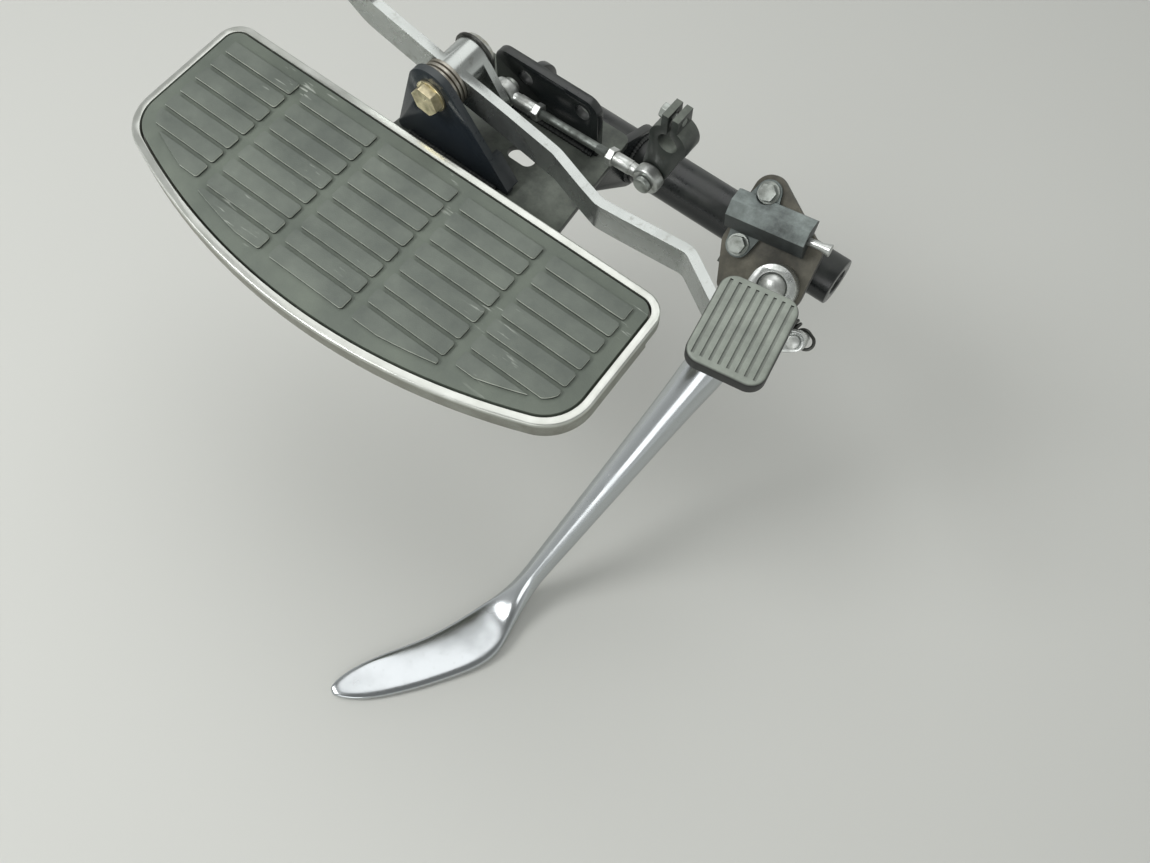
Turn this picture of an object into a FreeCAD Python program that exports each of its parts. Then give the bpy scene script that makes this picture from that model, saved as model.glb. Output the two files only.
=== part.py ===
import FreeCAD, Part
import math
import os
import Sketcher

# Left footboard, heel and toe gear lever and side stand of a cruiser motorcycle, with the
# piece of frame that carries them. Millimetres; X forward, Y left (away from the machine), Z up.
# The origin is the middle of the two mounting holes, on the inner face of the mounting plate.

doc = FreeCAD.newDocument("FootControls")
sheet = doc.addObject("Spreadsheet::Sheet", "Sizes")

# Each row: name of the size, value in mm (degrees where the name says so), what it is.
SIZES = [
    ("pin_clearance", 0.05, "radial play of a pin that turns in its hole"),
    ("bolt_clearance", 0.1, "radial play of a bolt in a plain hole"),
    ("face_gap", 0.3, "play between faces that slide on each other"),
    ("weld_gap", 0.15, "root gap of a plate welded round the rail"),
    ("rail_radius", 16.0, "frame rail, outer radius"),
    ("rail_y", -35.0, "frame rail, middle"),
    ("rail_z", -70.0, "frame rail, middle"),
    ("rail_front_x", 62.0, "frame rail, front end"),
    ("rail_rear_x", -198.0, "frame rail, rear end"),
    ("rail_socket_radius", 13.0, "socket in the front end"),
    ("rail_socket_depth", 210.0, "socket in the front end, the tube's inside"),
    ("rail_bore_radius", 8.5, "bore in the rear end"),
    ("rail_bore_depth", 28.0, "bore in the rear end"),
    ("mount_thickness", 6.0, "mounting plate"),
    ("mount_front_x", 46.0, "mounting plate, front edge"),
    ("mount_rear_x", -34.0, "mounting plate, rear edge"),
    ("mount_top_z", 12.0, "mounting plate, top edge"),
    ("mount_corner", 10.0, "mounting plate, top corners"),
    ("mount_hole_radius", 5.25, "mounting holes"),
    ("mount_hole_spacing", 44.0, "mounting holes, middle to middle"),
    ("base_top_z", -33.0, "bracket base plate, top face"),
    ("base_thickness", 5.0, "bracket base plate"),
    ("base_inner_y", -20.0, "bracket base plate, inner edge"),
    ("base_outer_y", 132.0, "bracket base plate, outer edge"),
    ("base_flange_depth", 14.0, "turned down edge of the base plate"),
    ("base_flange_thickness", 4.0, "turned down edge of the base plate"),
    ("slot_x", 4.0, "long hole in the base plate, middle"),
    ("slot_y", 34.0, "long hole in the base plate, middle"),
    ("slot_half_length", 4.5, "long hole, middle to the middle of an end"),
    ("slot_radius", 5.5, "long hole, half its width"),
    ("hanger_thickness", 6.0, "plates between the base plate and the rail"),
    ("hanger_wall", 6.0, "hanger round the rail"),
    ("hanger_reach", 46.0, "hanger's foot under the base plate, out from the rail"),
    ("hanger_inset", 4.0, "hanger's foot from the inner edge of the base plate"),
    ("hanger_foot", 2.0, "hanger's foot, corners"),
    ("hanger_front_x", 48.0, "front hanger, rear face"),
    ("hanger_rear_x", -40.0, "rear hanger, rear face"),
    ("hinge_y", 91.0, "footboard hinge"),
    ("hinge_z", -22.0, "footboard hinge"),
    ("hinge_front_x", 68.0, "front knuckle, middle"),
    ("hinge_rear_x", -32.0, "rear knuckle, middle"),
    ("knuckle_width", 18.0, "knuckle of the pan"),
    ("knuckle_radius", 7.5, "knuckle of the pan"),
    ("ear_thickness", 5.0, "ear of the bracket beside a knuckle"),
    ("hinge_pin_radius", 4.0, "hinge pin"),
    ("hinge_head_radius", 6.5, "head of the hinge pin"),
    ("hinge_head_height", 2.5, "head of the hinge pin"),
    ("bumper_x", 18.0, "rubber stop under the pan"),
    ("bumper_inset", 14.0, "rubber stop, from the outer edge of the base plate"),
    ("bumper_radius", 9.0, "rubber stop under the pan"),
    ("board_front_x", 199.0, "footboard, inner front corner"),
    ("board_rear_x", -142.6, "footboard, inner rear corner"),
    ("board_inner_y", 80.2, "footboard, inner edge"),
    ("board_front_slant", 2.3, "front edge runs back over the board's width"),
    ("board_rear_slant", 3.4, "rear edge runs back over the board's width"),
    ("board_slant_width", 98.0, "width over which the two slants are measured"),
    ("board_outer_y", 215.5, "footboard, outer edge at its farthest"),
    ("board_arc_radius", 408.5, "outer edge"),
    ("board_arc_x", 28.0, "middle of the outer edge's arc"),
    ("board_inner_corner", 15.5, "inner corners"),
    ("board_front_corner", 32.0, "outer front corner"),
    ("board_rear_corner", 32.0, "outer rear corner"),
    ("rim_width", 5.0, "top of the rim"),
    ("rim_top_z", -2.5, "top of the rim"),
    ("rim_bottom_z", -16.0, "lower lip of the rim"),
    ("rim_fillet", 1.2, "edges of the rim"),
    ("lip_start_y", 104.0, "the lower lip is left off nearer to the hinge"),
    ("floor_top_z", -9.0, "floor of the pan"),
    ("floor_thickness", 3.0, "floor of the pan"),
    ("rib_depth", 5.0, "ribs under the pan"),
    ("rib_thickness", 3.0, "ribs under the pan"),
    ("mat_edge_gap", 1.6, "groove between rim and mat"),
    ("mat_top_z", -2.2, "mat between its bars"),
    ("bar_pitch_x", 64.0, "groups of bars on the mat"),
    ("bar_length", 56.0, "bar on the mat"),
    ("bar_first_x", 128.0, "rear end of the front group"),
    ("bar_pitch_y", 13.03, "bars beside each other"),
    ("bar_width", 10.0, "bar on the mat"),
    ("bar_first_y", 95.0, "inner edge of the first bar"),
    ("bar_corner", 1.8, "corners of a bar, seen from above"),
    ("bar_inset", 15.5, "bars stop this far inside the rim's outer edge"),
    ("pivot_x", 45.0, "gear lever pivot"),
    ("pivot_z", 20.0, "gear lever pivot"),
    ("pivot_radius", 6.0, "gear lever pivot bolt"),
    ("pivot_head_flats", 17.0, "hexagon of the pivot bolt, across flats"),
    ("pivot_head_height", 7.5, "hexagon of the pivot bolt"),
    ("pivot_dome_radius", 14.0, "inner end of the pivot bolt"),
    ("pivot_dome_height", 4.0, "inner end of the pivot bolt"),
    ("circlip_thickness", 1.8, "circlip on the pivot bolt"),
    ("circlip_radius", 14.8, "circlip on the pivot bolt"),
    ("lug_inner_y", 58.5, "lever lug, inner face"),
    ("lug_thickness", 5.0, "lever lug"),
    ("lug_head_radius", 18.0, "lever lug round the pivot"),
    ("lug_foot_front_x", 78.0, "lever lug, foot"),
    ("lug_foot_rear_x", -6.0, "lever lug, foot"),
    ("lug_foot_corner", 3.0, "lever lug, foot corners"),
    ("lug_flange_width", 5.5, "turned in edge of the lug"),
    ("lug_flange_top_z", -10.0, "turned in edge of the lug"),
    ("lug_flange_thickness", 4.0, "turned in edge of the lug"),
    ("lever_inner_y", 43.0, "lever bar, inner face at the pivot"),
    ("lever_thickness", 6.0, "lever bar"),
    ("lever_height", 22.0, "lever bar, seen from the side"),
    ("lever_jog", 14.0, "lever bar steps out behind the pivot"),
    ("hub_radius", 13.0, "lever hub"),
    ("hub_inner_y", 25.5, "lever hub, inner face"),
    ("drop_thickness", 5.0, "drop arm of the lever"),
    ("toe_x", 160.0, "toe peg"),
    ("toe_z", 78.0, "toe peg"),
    ("toe_pin_radius", 5.0, "toe peg, steel pin"),
    ("toe_rubber_radius", 12.5, "toe peg, rubber"),
    ("toe_rubber_length", 50.0, "toe peg, rubber"),
    ("heel_x", -190.9, "heel pad, middle"),
    ("heel_y", 90.9, "heel pad, middle"),
    ("heel_top_z", 40.0, "heel pad, top"),
    ("heel_pad_x", 44.0, "heel pad, fore and aft"),
    ("heel_pad_y", 56.5, "heel pad, across"),
    ("heel_pad_thickness", 8.0, "heel pad"),
    ("heel_pad_corner", 9.0, "heel pad, corners"),
    ("heel_turn_deg", 10.0, "heel pad, turned about its middle"),
    ("heel_plate_thickness", 3.0, "plate under the heel pad"),
    ("heel_groove_depth", 0.9, "grooves of the heel pad"),
    ("heel_groove_width", 1.7, "grooves of the heel pad"),
    ("front_eye_x", 26.2, "front eye of the shift rod"),
    ("front_eye_z", -2.2, "front eye of the shift rod"),
    ("rear_eye_x", -82.7, "rear eye of the shift rod"),
    ("rear_eye_z", 1.7, "rear eye of the shift rod"),
    ("rod_y", 21.0, "shift rod, middle plane"),
    ("rod_radius", 2.7, "shift rod"),
    ("eye_radius", 9.0, "rod end"),
    ("eye_width", 8.0, "rod end"),
    ("eye_pin_radius", 3.0, "bolt through a rod end"),
    ("eye_head_radius", 5.5, "head of that bolt"),
    ("eye_head_height", 3.5, "head of that bolt"),
    ("rear_eye_play", 0.8, "radial play of the rear eye, which closes the linkage"),
    ("rod_end_neck_radius", 4.4, "shank of a rod end"),
    ("rod_end_neck_length", 24.0, "shank of a rod end, from the eye's middle"),
    ("nut_flats", 10.0, "lock nuts on the rod"),
    ("nut_thickness", 4.5, "lock nuts on the rod"),
    ("arm_x", -90.0, "gearbox arm, shaft clamp"),
    ("arm_z", 34.0, "gearbox arm, shaft clamp"),
    ("arm_bore_radius", 6.5, "shaft clamp bore"),
    ("arm_hub_radius", 12.5, "shaft clamp"),
    ("arm_hub_length", 14.0, "shaft clamp"),
    ("arm_thickness", 6.0, "gearbox arm"),
    ("arm_split", 2.4, "slit of the shaft clamp"),
    ("arm_bolt_radius", 2.5, "pinch bolt of the clamp"),
    ("stand_x", -173.2, "side stand pivot on the stand plate's top face"),
    ("stand_y", 5.4, "side stand pivot on the stand plate's top face"),
    ("stand_z", -48.6, "side stand pivot on the stand plate's top face"),
    ("stand_tilt_deg", 40.5, "stand plate leans out by this angle"),
    ("stand_plate_thickness", 6.0, "stand plate"),
    ("stand_plate_head", 17.0, "stand plate round the pivot"),
    ("stand_web_thickness", 6.0, "web between stand plate and rail"),
    ("stand_web_v", -25.0, "middle of that web"),
    ("stand_web_front", 52.0, "front end of that web"),
    ("stand_web_rear", 8.0, "rear end of that web"),
    ("stand_web_depth", 34.0, "that web, down from the stand plate"),
    ("stand_rib_setback", 16.0, "rib behind the web's front end"),
    ("stand_rib_reach", 32.0, "rib at the stand plate, out from the web"),
    ("stand_rib_low_reach", 22.0, "rib at its low corner, out from the web"),
    ("stand_rib_low_depth", 30.0, "rib at its low corner, down from the plate"),
    ("stand_rib_corner", 6.0, "rib, low corner"),
    ("plate_rear_u", -6.0, "stand plate, rear corner"),
    ("plate_rear_corner", 8.0, "stand plate, rear corner"),
    ("plate_inner_corner", 11.0, "stand plate round the inner bolt"),
    ("plate_outer_corner", 9.0, "stand plate round the outer bolt"),
    ("plate_front_corner", 6.0, "stand plate, front corner"),
    ("plate_front_step", 24.0, "stand plate, front corner out from the outer bolt"),
    ("stand_bolt_radius", 7.0, "stand pivot bolt"),
    ("stand_bolt_head_radius", 8.6, "stand pivot bolt, domed head"),
    ("stand_bolt_head_height", 4.6, "stand pivot bolt, domed head"),
    ("stand_bolt_dome", 2.8, "stand pivot bolt, how far its head is domed"),
    ("eye_ring_radius", 14.6, "eye of the stand"),
    ("eye_ring_height", 13.7, "eye of the stand"),
    ("eye_ring_recess", 4.5, "recess for the bolt's head"),
    ("eye_recess_play", 1.0, "radial play round the bolt's head"),
    ("leg_lean_deg", 7.93, "leg runs forward of straight out"),
    ("leg_axis_w", 8.0, "leg's middle above the stand plate"),
    ("leg_start", 72.0, "leg leaves its forged neck, from the pivot"),
    ("leg_length", 289.0, "pivot to the bend at the foot"),
    ("leg_top_radius", 13.0, "leg at the neck"),
    ("leg_low_radius", 7.0, "leg at the foot"),
    ("neck_radius", 13.6, "neck round the leg's top end"),
    ("neck_length", 26.0, "neck round the leg's top end"),
    ("ground_lean_deg", 8.0, "ground against the machine's own level"),
    ("foot_height", 7.0, "bend of the leg above the ground"),
    ("foot_turn_deg", 25.0, "foot points this much forward of straight out"),
    ("hook_u", -28.8, "spring hook of the stand"),
    ("hook_v", 20.1, "spring hook of the stand"),
    ("hook_radius", 4.0, "spring hook of the stand"),
    ("hook_groove_radius", 3.0, "spring hook where the spring sits"),
    ("hook_arm_radius", 6.5, "arm that carries the spring hook"),
    ("stand_swing_deg", 75.0, "swing of the side stand"),
    ("post_distance", 22.0, "spring post from the stand pivot"),
    ("post_radius", 4.0, "spring post"),
    ("spring_w", -16.5, "middle of the spring below the stand plate's top"),
    ("spring_radius", 5.0, "spring, outer radius"),
    ("wire_radius", 1.1, "spring wire"),
    ("spring_coils", 15, "turns of the spring"),
    ("spring_hook_length", 9.0, "straight end of the spring"),
    ("hook_drift", 3.2, "the spring gets longer by this in the middle of the swing"),
    ("hook_side_play", 0.9, "radial play of the spring on the stand's hook"),
    ("switch_length", 52.0, "stand switch"),
    ("switch_width", 24.0, "stand switch at its foot"),
    ("switch_top_width", 9.4, "stand switch at its top"),
    ("switch_height", 14.0, "stand switch"),
    ("switch_u", 22.8, "stand switch, middle"),
    ("switch_v", -31.1, "stand switch, middle"),
    ("switch_turn_deg", 8.2, "stand switch against the rail"),
    ("switch_ear_thickness", 3.0, "ears of the switch"),
    ("switch_ear_radius", 8.0, "ears of the switch"),
    ("plunger_radius", 2.5, "plunger of the switch"),
    ("plunger_tip_radius", 4.0, "plunger of the switch, flared tip"),
    ("plunger_tip_length", 6.0, "plunger of the switch, flared tip"),
    ("plunger_length", 14.5, "plunger of the switch"),
    ("plunger_offset", -1.5, "plunger towards the inner side of the switch"),
    ("switch_bolt_u", 33.7, "bolts of the switch"),
    ("switch_bolt_inner_v", -45.6, "inner bolt of the switch"),
    ("switch_bolt_outer_v", -9.9, "outer bolt of the switch"),
    ("flange_bolt_radius", 3.0, "flange bolts, shank"),
    ("flange_bolt_flange", 7.0, "flange bolts, flange radius"),
    ("flange_bolt_flats", 10.0, "flange bolts, across flats"),
    ("flange_bolt_height", 5.5, "flange bolts, head"),
    ("flange_height", 1.4, "flange bolts, flange"),
]
for row, (name, value, meaning) in enumerate(SIZES, start=1):
    sheet.set("A%d" % row, str(value))
    sheet.setAlias("A%d" % row, name)
    sheet.set("B%d" % row, meaning)
doc.recompute()

nodes = {}


def size(name):
    """The value of a named size on the sheet."""
    return float(sheet.get(name))


def vec(x, y, z=0.0):
    return FreeCAD.Vector(x, y, z)


# Outlines are lists of lines and arcs in a plane of their own.

def rounded(corners):
    """Closed outline through corners (x, y, radius), each rounded by its radius."""
    count = len(corners)
    starts = []
    ends = []
    mids = []
    for i, (x, y, radius) in enumerate(corners):
        here = vec(x, y)
        before = vec(*corners[i - 1][:2]) - here
        after = vec(*corners[(i + 1) % count][:2]) - here
        before.normalize()
        after.normalize()
        half = before.getAngle(after) / 2
        reach = radius / math.tan(half)
        starts.append(here + before * reach)
        ends.append(here + after * reach)
        bisector = before + after
        if bisector.Length > 1e-9:
            bisector.normalize()
        mids.append(here + bisector * (radius / math.sin(half) - radius))
    outline = []
    for i in range(count):
        if corners[i][2] > 0:
            outline.append(Part.Arc(starts[i], mids[i], ends[i]))
        following = (i + 1) % count
        if (starts[following] - ends[i]).Length > 1e-6:
            outline.append(Part.LineSegment(ends[i], starts[following]))
    return outline


def hull(circles):
    """Outline stretched round circles (x, y, radius), listed anticlockwise."""
    count = len(circles)
    normals = []
    for i in range(count):
        x1, y1, r1 = circles[i]
        x2, y2, r2 = circles[(i + 1) % count]
        away = math.hypot(x2 - x1, y2 - y1)
        normals.append(math.atan2(y2 - y1, x2 - x1) - math.acos((r1 - r2) / away))
    outline = []
    for i in range(count):
        x1, y1, r1 = circles[i]
        x2, y2, r2 = circles[(i + 1) % count]
        before = normals[i - 1]
        turn = (normals[i] - before) % (2 * math.pi)
        spots = [before, before + turn / 2, before + turn]
        points = [vec(x1 + r1 * math.cos(a), y1 + r1 * math.sin(a)) for a in spots]
        if turn > 1e-6:
            outline.append(Part.Arc(*points))
        side = vec(math.cos(normals[i]), math.sin(normals[i]))
        outline.append(Part.LineSegment(vec(x1, y1) + side * r1, vec(x2, y2) + side * r2))
    return outline


def ring(x, y, radius):
    return [Part.Circle(vec(x, y), vec(0, 0, 1), radius)]


def band(path, bend, half_width):
    """Outline of a strip that follows points, with bends of one middle radius."""
    left = []
    right = []
    last = len(path) - 1
    for i in range(len(path)):
        here = vec(*path[i])
        ways = []
        if i > 0:
            ways.append((here - vec(*path[i - 1])).normalize())
        if i < last:
            ways.append((vec(*path[i + 1]) - here).normalize())
        sides = [vec(-way.y, way.x) for way in ways]
        side = sides[0] + sides[-1]
        side = side * (half_width / side.dot(sides[0]))
        turn = 0.0
        if len(ways) == 2:
            turn = ways[0].x * ways[1].y - ways[0].y * ways[1].x
        inner = 0.0
        outer = 0.0
        if abs(turn) > 1e-9:
            inner = bend - half_width
            outer = bend + half_width
        if turn < 0:
            inner, outer = outer, inner
        left.append((here.x + side.x, here.y + side.y, inner))
        right.append((here.x - side.x, here.y - side.y, outer))
    return rounded(right + left[::-1])


# Planes: how a drawing's x, y and depth lie in the part.
PLANES = {
    "XY": FreeCAD.Matrix(1, 0, 0, 0, 0, 1, 0, 0, 0, 0, 1, 0, 0, 0, 0, 1),
    "XZ": FreeCAD.Matrix(1, 0, 0, 0, 0, 0, 1, 0, 0, 1, 0, 0, 0, 0, 0, 1),
    "YZ": FreeCAD.Matrix(0, 0, 1, 0, 1, 0, 0, 0, 0, 1, 0, 0, 0, 0, 0, 1),
}


def at(plane, x, y, depth):
    """A point of a drawing in the part's own axes."""
    return PLANES[plane].multVec(vec(x, y, depth))


def prism(outline, plane, start, depth, holes=()):
    """Solid from an outline, drawn on a plane and running from start over depth."""
    face = Part.Face(Part.Wire(Part.__sortEdges__([part.toShape() for part in outline])))
    for hole in holes:
        face = face.cut(Part.Face(Part.Wire([part.toShape() for part in hole])))
    points = [vec(0, 0), vec(1, 0), vec(0, 1)]
    origin, along_x, along_y = [PLANES[plane].multVec(point) for point in points]
    turn = FreeCAD.Rotation(along_x - origin, along_y - origin, vec(0, 0, 0), "XYZ")
    face.Placement = FreeCAD.Placement(at(plane, 0, 0, start), turn)
    return face.extrude(at(plane, 0, 0, depth))


def cylinder(plane, x, y, start, depth, radius):
    return Part.makeCylinder(radius, depth, at(plane, x, y, start), at(plane, 0, 0, 1))


def hexagon(plane, x, y, start, depth, flats, turn_deg=0.0):
    corners = []
    for i in range(6):
        angle = math.radians(60 * i + turn_deg)
        reach = flats / math.sqrt(3)
        corners.append((x + reach * math.cos(angle), y + reach * math.sin(angle), 0.0))
    return prism(rounded(corners), plane, start, depth)


def fused(*shapes):
    return shapes[0].multiFuse(list(shapes[1:])).removeSplitter()


def keep(label, shape, placement=None):
    """A piece whose shape is worked out here, as an object of the document."""
    piece = doc.addObject("Part::Feature", label)
    piece.Shape = shape
    if placement is not None:
        piece.Placement = placement
    piece.Label = label
    nodes[label] = piece
    return piece


def bind(thing, **expressions):
    """Ties properties to the sheet; a double underscore in a name stands for a dot."""
    for name, expression in expressions.items():
        path = name.replace("__", ".")
        if path.startswith("Placement"):
            path = "." + path
        thing.setExpression(path, expression)


def plate(label, role, start, depth, outline, circles=()):
    """A flat plate as a sketched pad, with round holes (x, y, radius expression)."""
    body = doc.addObject("PartDesign::Body", label)
    support = [f for f in body.Origin.OriginFeatures if f.Role == role][0]
    sketch = body.newObject("Sketcher::SketchObject", label + "Outline")
    sketch.AttachmentSupport = [(support, "")]
    sketch.MapMode = "FlatFace"
    sign = "-" if role == "XZ_Plane" else ""
    sketch.setExpression(".AttachmentOffset.Base.z", "%s(%s)" % (sign, start))
    sketch.addGeometry(outline, False)
    pad = body.newObject("PartDesign::Pad", label + "Pad")
    pad.Profile = sketch
    pad.setExpression("Length", depth)
    pad.Reversed = role == "XZ_Plane"
    body.Tip = pad
    doc.recompute()
    if circles:
        drilling = body.newObject("Sketcher::SketchObject", label + "Holes")
        drilling.AttachmentSupport = [(support, "")]
        drilling.MapMode = "FlatFace"
        drilling.setExpression(".AttachmentOffset.Base.z", "%s(%s)" % (sign, start))
        for x, y, radius in circles:
            index = drilling.addGeometry(Part.Circle(vec(x, y), vec(0, 0, 1), 1.0), False)
            constraint = drilling.addConstraint(Sketcher.Constraint("Radius", index, 1.0))
            drilling.setExpression("Constraints[%d]" % constraint, radius)
        pocket = body.newObject("PartDesign::Pocket", label + "Pocket")
        pocket.Profile = drilling
        pocket.Type = "ThroughAll"
        pocket.Midplane = True
        body.Tip = pocket
        doc.recompute()
        if body.Shape.Volume >= pad.Shape.Volume:
            raise RuntimeError(label + " holes cut nothing")
    body.Label = label
    nodes[label] = body
    return body



def stand_placement():
    """Frame of the side stand: u forward, v outward and down, w up through its pivot."""
    turn = FreeCAD.Rotation(vec(1, 0, 0), -size("stand_tilt_deg"))
    return FreeCAD.Placement(vec(size("stand_x"), size("stand_y"), size("stand_z")), turn)


def rail_cutter(extra):
    """The rail's outside, larger by a gap, to fit welded plates round it."""
    length = size("rail_front_x") - size("rail_rear_x")
    start = vec(size("rail_rear_x"), size("rail_y"), size("rail_z"))
    return Part.makeCylinder(size("rail_radius") + extra, length, start, vec(1, 0, 0))


def make_rail():
    """Frame rail: a tube with a socket in front and a bored boss behind."""
    rail = doc.addObject("Part::Cylinder", "RailOutside")
    bind(rail, Radius="Sizes.rail_radius", Height="Sizes.rail_front_x - Sizes.rail_rear_x")
    socket = doc.addObject("Part::Cylinder", "RailSocket")
    bind(socket, Radius="Sizes.rail_socket_radius", Height="Sizes.rail_socket_depth")
    bore = doc.addObject("Part::Cylinder", "RailBore")
    bind(bore, Radius="Sizes.rail_bore_radius", Height="Sizes.rail_bore_depth")
    starts = [
        (rail, "Sizes.rail_rear_x"),
        (socket, "Sizes.rail_front_x - Sizes.rail_socket_depth"),
        (bore, "Sizes.rail_rear_x"),
    ]
    for piece, start in starts:
        piece.Placement = FreeCAD.Placement(vec(0, 0), FreeCAD.Rotation(vec(0, 1, 0), 90))
        bind(piece, Placement__Base__x=start)
        bind(piece, Placement__Base__y="Sizes.rail_y", Placement__Base__z="Sizes.rail_z")
    hollow = doc.addObject("Part::MultiFuse", "RailHollows")
    hollow.Shapes = [socket, bore]
    tube = doc.addObject("Part::Cut", "frame_rail")
    tube.Base = rail
    tube.Tool = hollow
    tube.Label = "frame_rail"
    nodes["frame_rail"] = tube


def make_mount_plate():
    """Upright plate with the two mounting holes."""
    front = size("mount_front_x")
    rear = size("mount_rear_x")
    corner = size("mount_corner")
    outline = rounded([
        (rear, size("base_top_z"), 0.0),
        (front, size("base_top_z"), 0.0),
        (front, size("mount_top_z"), corner),
        (rear, size("mount_top_z"), corner),
    ])
    half = size("mount_hole_spacing") / 2
    holes = [(side * half, 0.0, "Sizes.mount_hole_radius") for side in (-1, 1)]
    plate("mount_plate", "XZ_Plane", "0", "Sizes.mount_thickness", outline, holes)


def base_outline():
    """Plan of the bracket's base plate: narrow at the frame, wide under the hinge."""
    inner = size("base_inner_y")
    outer = size("base_outer_y")
    wide = size("hinge_y") - 20
    clear = size("knuckle_width") / 2 + size("ear_thickness") + 4
    front = size("hinge_front_x") + clear
    rear = size("hinge_rear_x") - clear
    return [
        (rear + 8, inner, 6.0),
        (size("lug_foot_front_x"), inner, 6.0),
        (front, wide, 20.0),
        (front, outer, 10.0),
        (rear, outer, 10.0),
        (rear, wide, 20.0),
    ]


def ear_outline():
    """Hinge ear seen along the pin: round the pin, with its foot on the base plate."""
    radius = size("knuckle_radius")
    foot = size("base_top_z") + 2
    return hull([
        (size("hinge_y"), size("hinge_z"), radius),
        (size("hinge_y") + 1, foot, 2.0),
        (size("hinge_y") + 3 * radius, foot, 2.0),
    ])


def make_footboard_bracket():
    """Pressed base plate with turned down edges and two pairs of hinge ears."""
    top = size("base_top_z")
    thick = size("base_thickness")
    edge = base_outline()
    solid = prism(rounded(edge), "XY", top - thick, thick)
    skirt = prism(rounded(edge), "XY", top - thick - size("base_flange_depth"), size("base_flange_depth"))
    face = Part.Face(Part.Wire(Part.__sortEdges__([g.toShape() for g in rounded(edge)])))
    inside = face.makeOffset2D(-size("base_flange_thickness"))
    inside.translate(vec(0, 0, top - thick - size("base_flange_depth")))
    skirt = skirt.cut(inside.extrude(vec(0, 0, size("base_flange_depth"))))
    reach = size("base_outer_y") - size("hinge_y") + 20
    middle = Part.makeBox(400, reach, 60, vec(-200, size("base_outer_y") - reach, top - 50))
    skirt = skirt.common(middle)
    slot = hull([
        (size("slot_x") - size("slot_half_length"), size("slot_y"), size("slot_radius")),
        (size("slot_x") + size("slot_half_length"), size("slot_y"), size("slot_radius")),
    ])
    solid = solid.cut(prism(slot, "XY", top - thick, thick))
    ears = []
    half = size("knuckle_width") / 2 + size("face_gap")
    for x in (size("hinge_front_x"), size("hinge_rear_x")):
        for start in (x - half - size("ear_thickness"), x + half):
            ears.append(prism(ear_outline(), "YZ", start, size("ear_thickness")))
    solid = fused(solid, skirt, *ears)
    for x in (size("hinge_front_x"), size("hinge_rear_x")):
        hole = size("hinge_pin_radius") + size("bolt_clearance")
        solid = solid.cut(cylinder("YZ", size("hinge_y"), size("hinge_z"), x - 30, 60, hole))
    keep("footboard_bracket", solid)


def make_hangers():
    """Two upright plates, welded round the rail, that carry the base plate."""
    top = size("base_top_z") - size("base_thickness")
    y = size("rail_y")
    z = size("rail_z")
    radius = size("rail_radius")
    foot = size("hanger_foot")
    outline = hull([
        (y, z, radius + size("hanger_wall")),
        (y + radius + size("hanger_reach"), top - foot, foot),
        (size("base_inner_y") + size("hanger_inset"), top - foot, foot),
    ])
    solids = []
    for start in (size("hanger_front_x"), size("hanger_rear_x")):
        hanger = prism(outline, "YZ", start, size("hanger_thickness"))
        solids.append(hanger.cut(rail_cutter(size("weld_gap"))))
    keep("rail_hangers", Part.makeCompound(solids))


def make_hinge_pins():
    """Headed pins through the ears and knuckles."""
    half = size("knuckle_width") / 2 + size("face_gap") + size("ear_thickness")
    length = 2 * half + 3
    for label, x in (("hinge_pin_front", size("hinge_front_x")), ("hinge_pin_rear", size("hinge_rear_x"))):
        y = size("hinge_y")
        z = size("hinge_z")
        shank = cylinder("YZ", y, z, x - half - 3, length, size("hinge_pin_radius"))
        head = cylinder("YZ", y, z, x + half, size("hinge_head_height"), size("hinge_head_radius"))
        keep(label, fused(shank, head))


def bumper_y():
    """Middle of the rubber stop, a fixed way in from the outer edge of the base plate."""
    return size("base_outer_y") - size("bumper_inset")


def make_bumper():
    """Rubber stop that the lowered footboard rests on."""
    top = size("floor_top_z") - size("floor_thickness") - size("face_gap")
    height = top - size("base_top_z")
    base = (size("bumper_x"), bumper_y(), size("base_top_z"))
    foot = Part.makeCylinder(size("bumper_radius"), height - 3, vec(*base))
    crown = Part.makeCone(size("bumper_radius"), size("bumper_radius") - 2, 3,
                          vec(base[0], base[1], top - 3))
    keep("stop_bumper", fused(foot, crown))


def board_prism(bottom, top):
    """Footboard outline as a solid: three straight edges, a long arc, four round corners."""
    front = size("board_front_x")
    rear = size("board_rear_x")
    inner = size("board_inner_y")
    radius = size("board_arc_radius")
    centre = vec(size("board_arc_x"), size("board_outer_y") - radius)

    def on_arc(x, slant):
        """Where an end edge that leans back by a slant meets the outer arc."""
        y = inner + 100
        for step in range(20):
            here = x - slant * (y - inner) / size("board_slant_width")
            y = centre.y + math.sqrt(radius ** 2 - (here - centre.x) ** 2)
        return vec(here, y)

    front_outer = on_arc(front, size("board_front_slant"))
    rear_outer = on_arc(rear, size("board_rear_slant"))
    middle = vec(centre.x, centre.y + radius)
    outline = [
        Part.LineSegment(vec(rear, inner), vec(front, inner)),
        Part.LineSegment(vec(front, inner), front_outer),
        Part.Arc(front_outer, middle, rear_outer),
        Part.LineSegment(rear_outer, vec(rear, inner)),
    ]
    solid = prism(outline, "XY", bottom, top - bottom)
    corners = [
        (vec(front, inner), size("board_inner_corner")),
        (vec(rear, inner), size("board_inner_corner")),
        (front_outer, size("board_front_corner")),
        (rear_outer, size("board_rear_corner")),
    ]
    for corner, rounding in corners:
        for edge in solid.Edges:
            spot = edge.CenterOfMass
            upright = abs(edge.tangentAt(edge.FirstParameter).z) > 0.99
            if upright and math.hypot(spot.x - corner.x, spot.y - corner.y) < 0.01:
                solid = solid.makeFillet(rounding, [edge])
                break
    return solid


def board_inset(inset, bottom, top):
    """The footboard's outline drawn in by an inset, as a solid."""
    solid = board_prism(bottom, top)
    face = [f for f in solid.Faces if f.CenterOfMass.z < bottom + 1e-6][0]
    inner = face.makeOffset2D(-inset)
    return inner.extrude(vec(0, 0, top - bottom))


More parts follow.
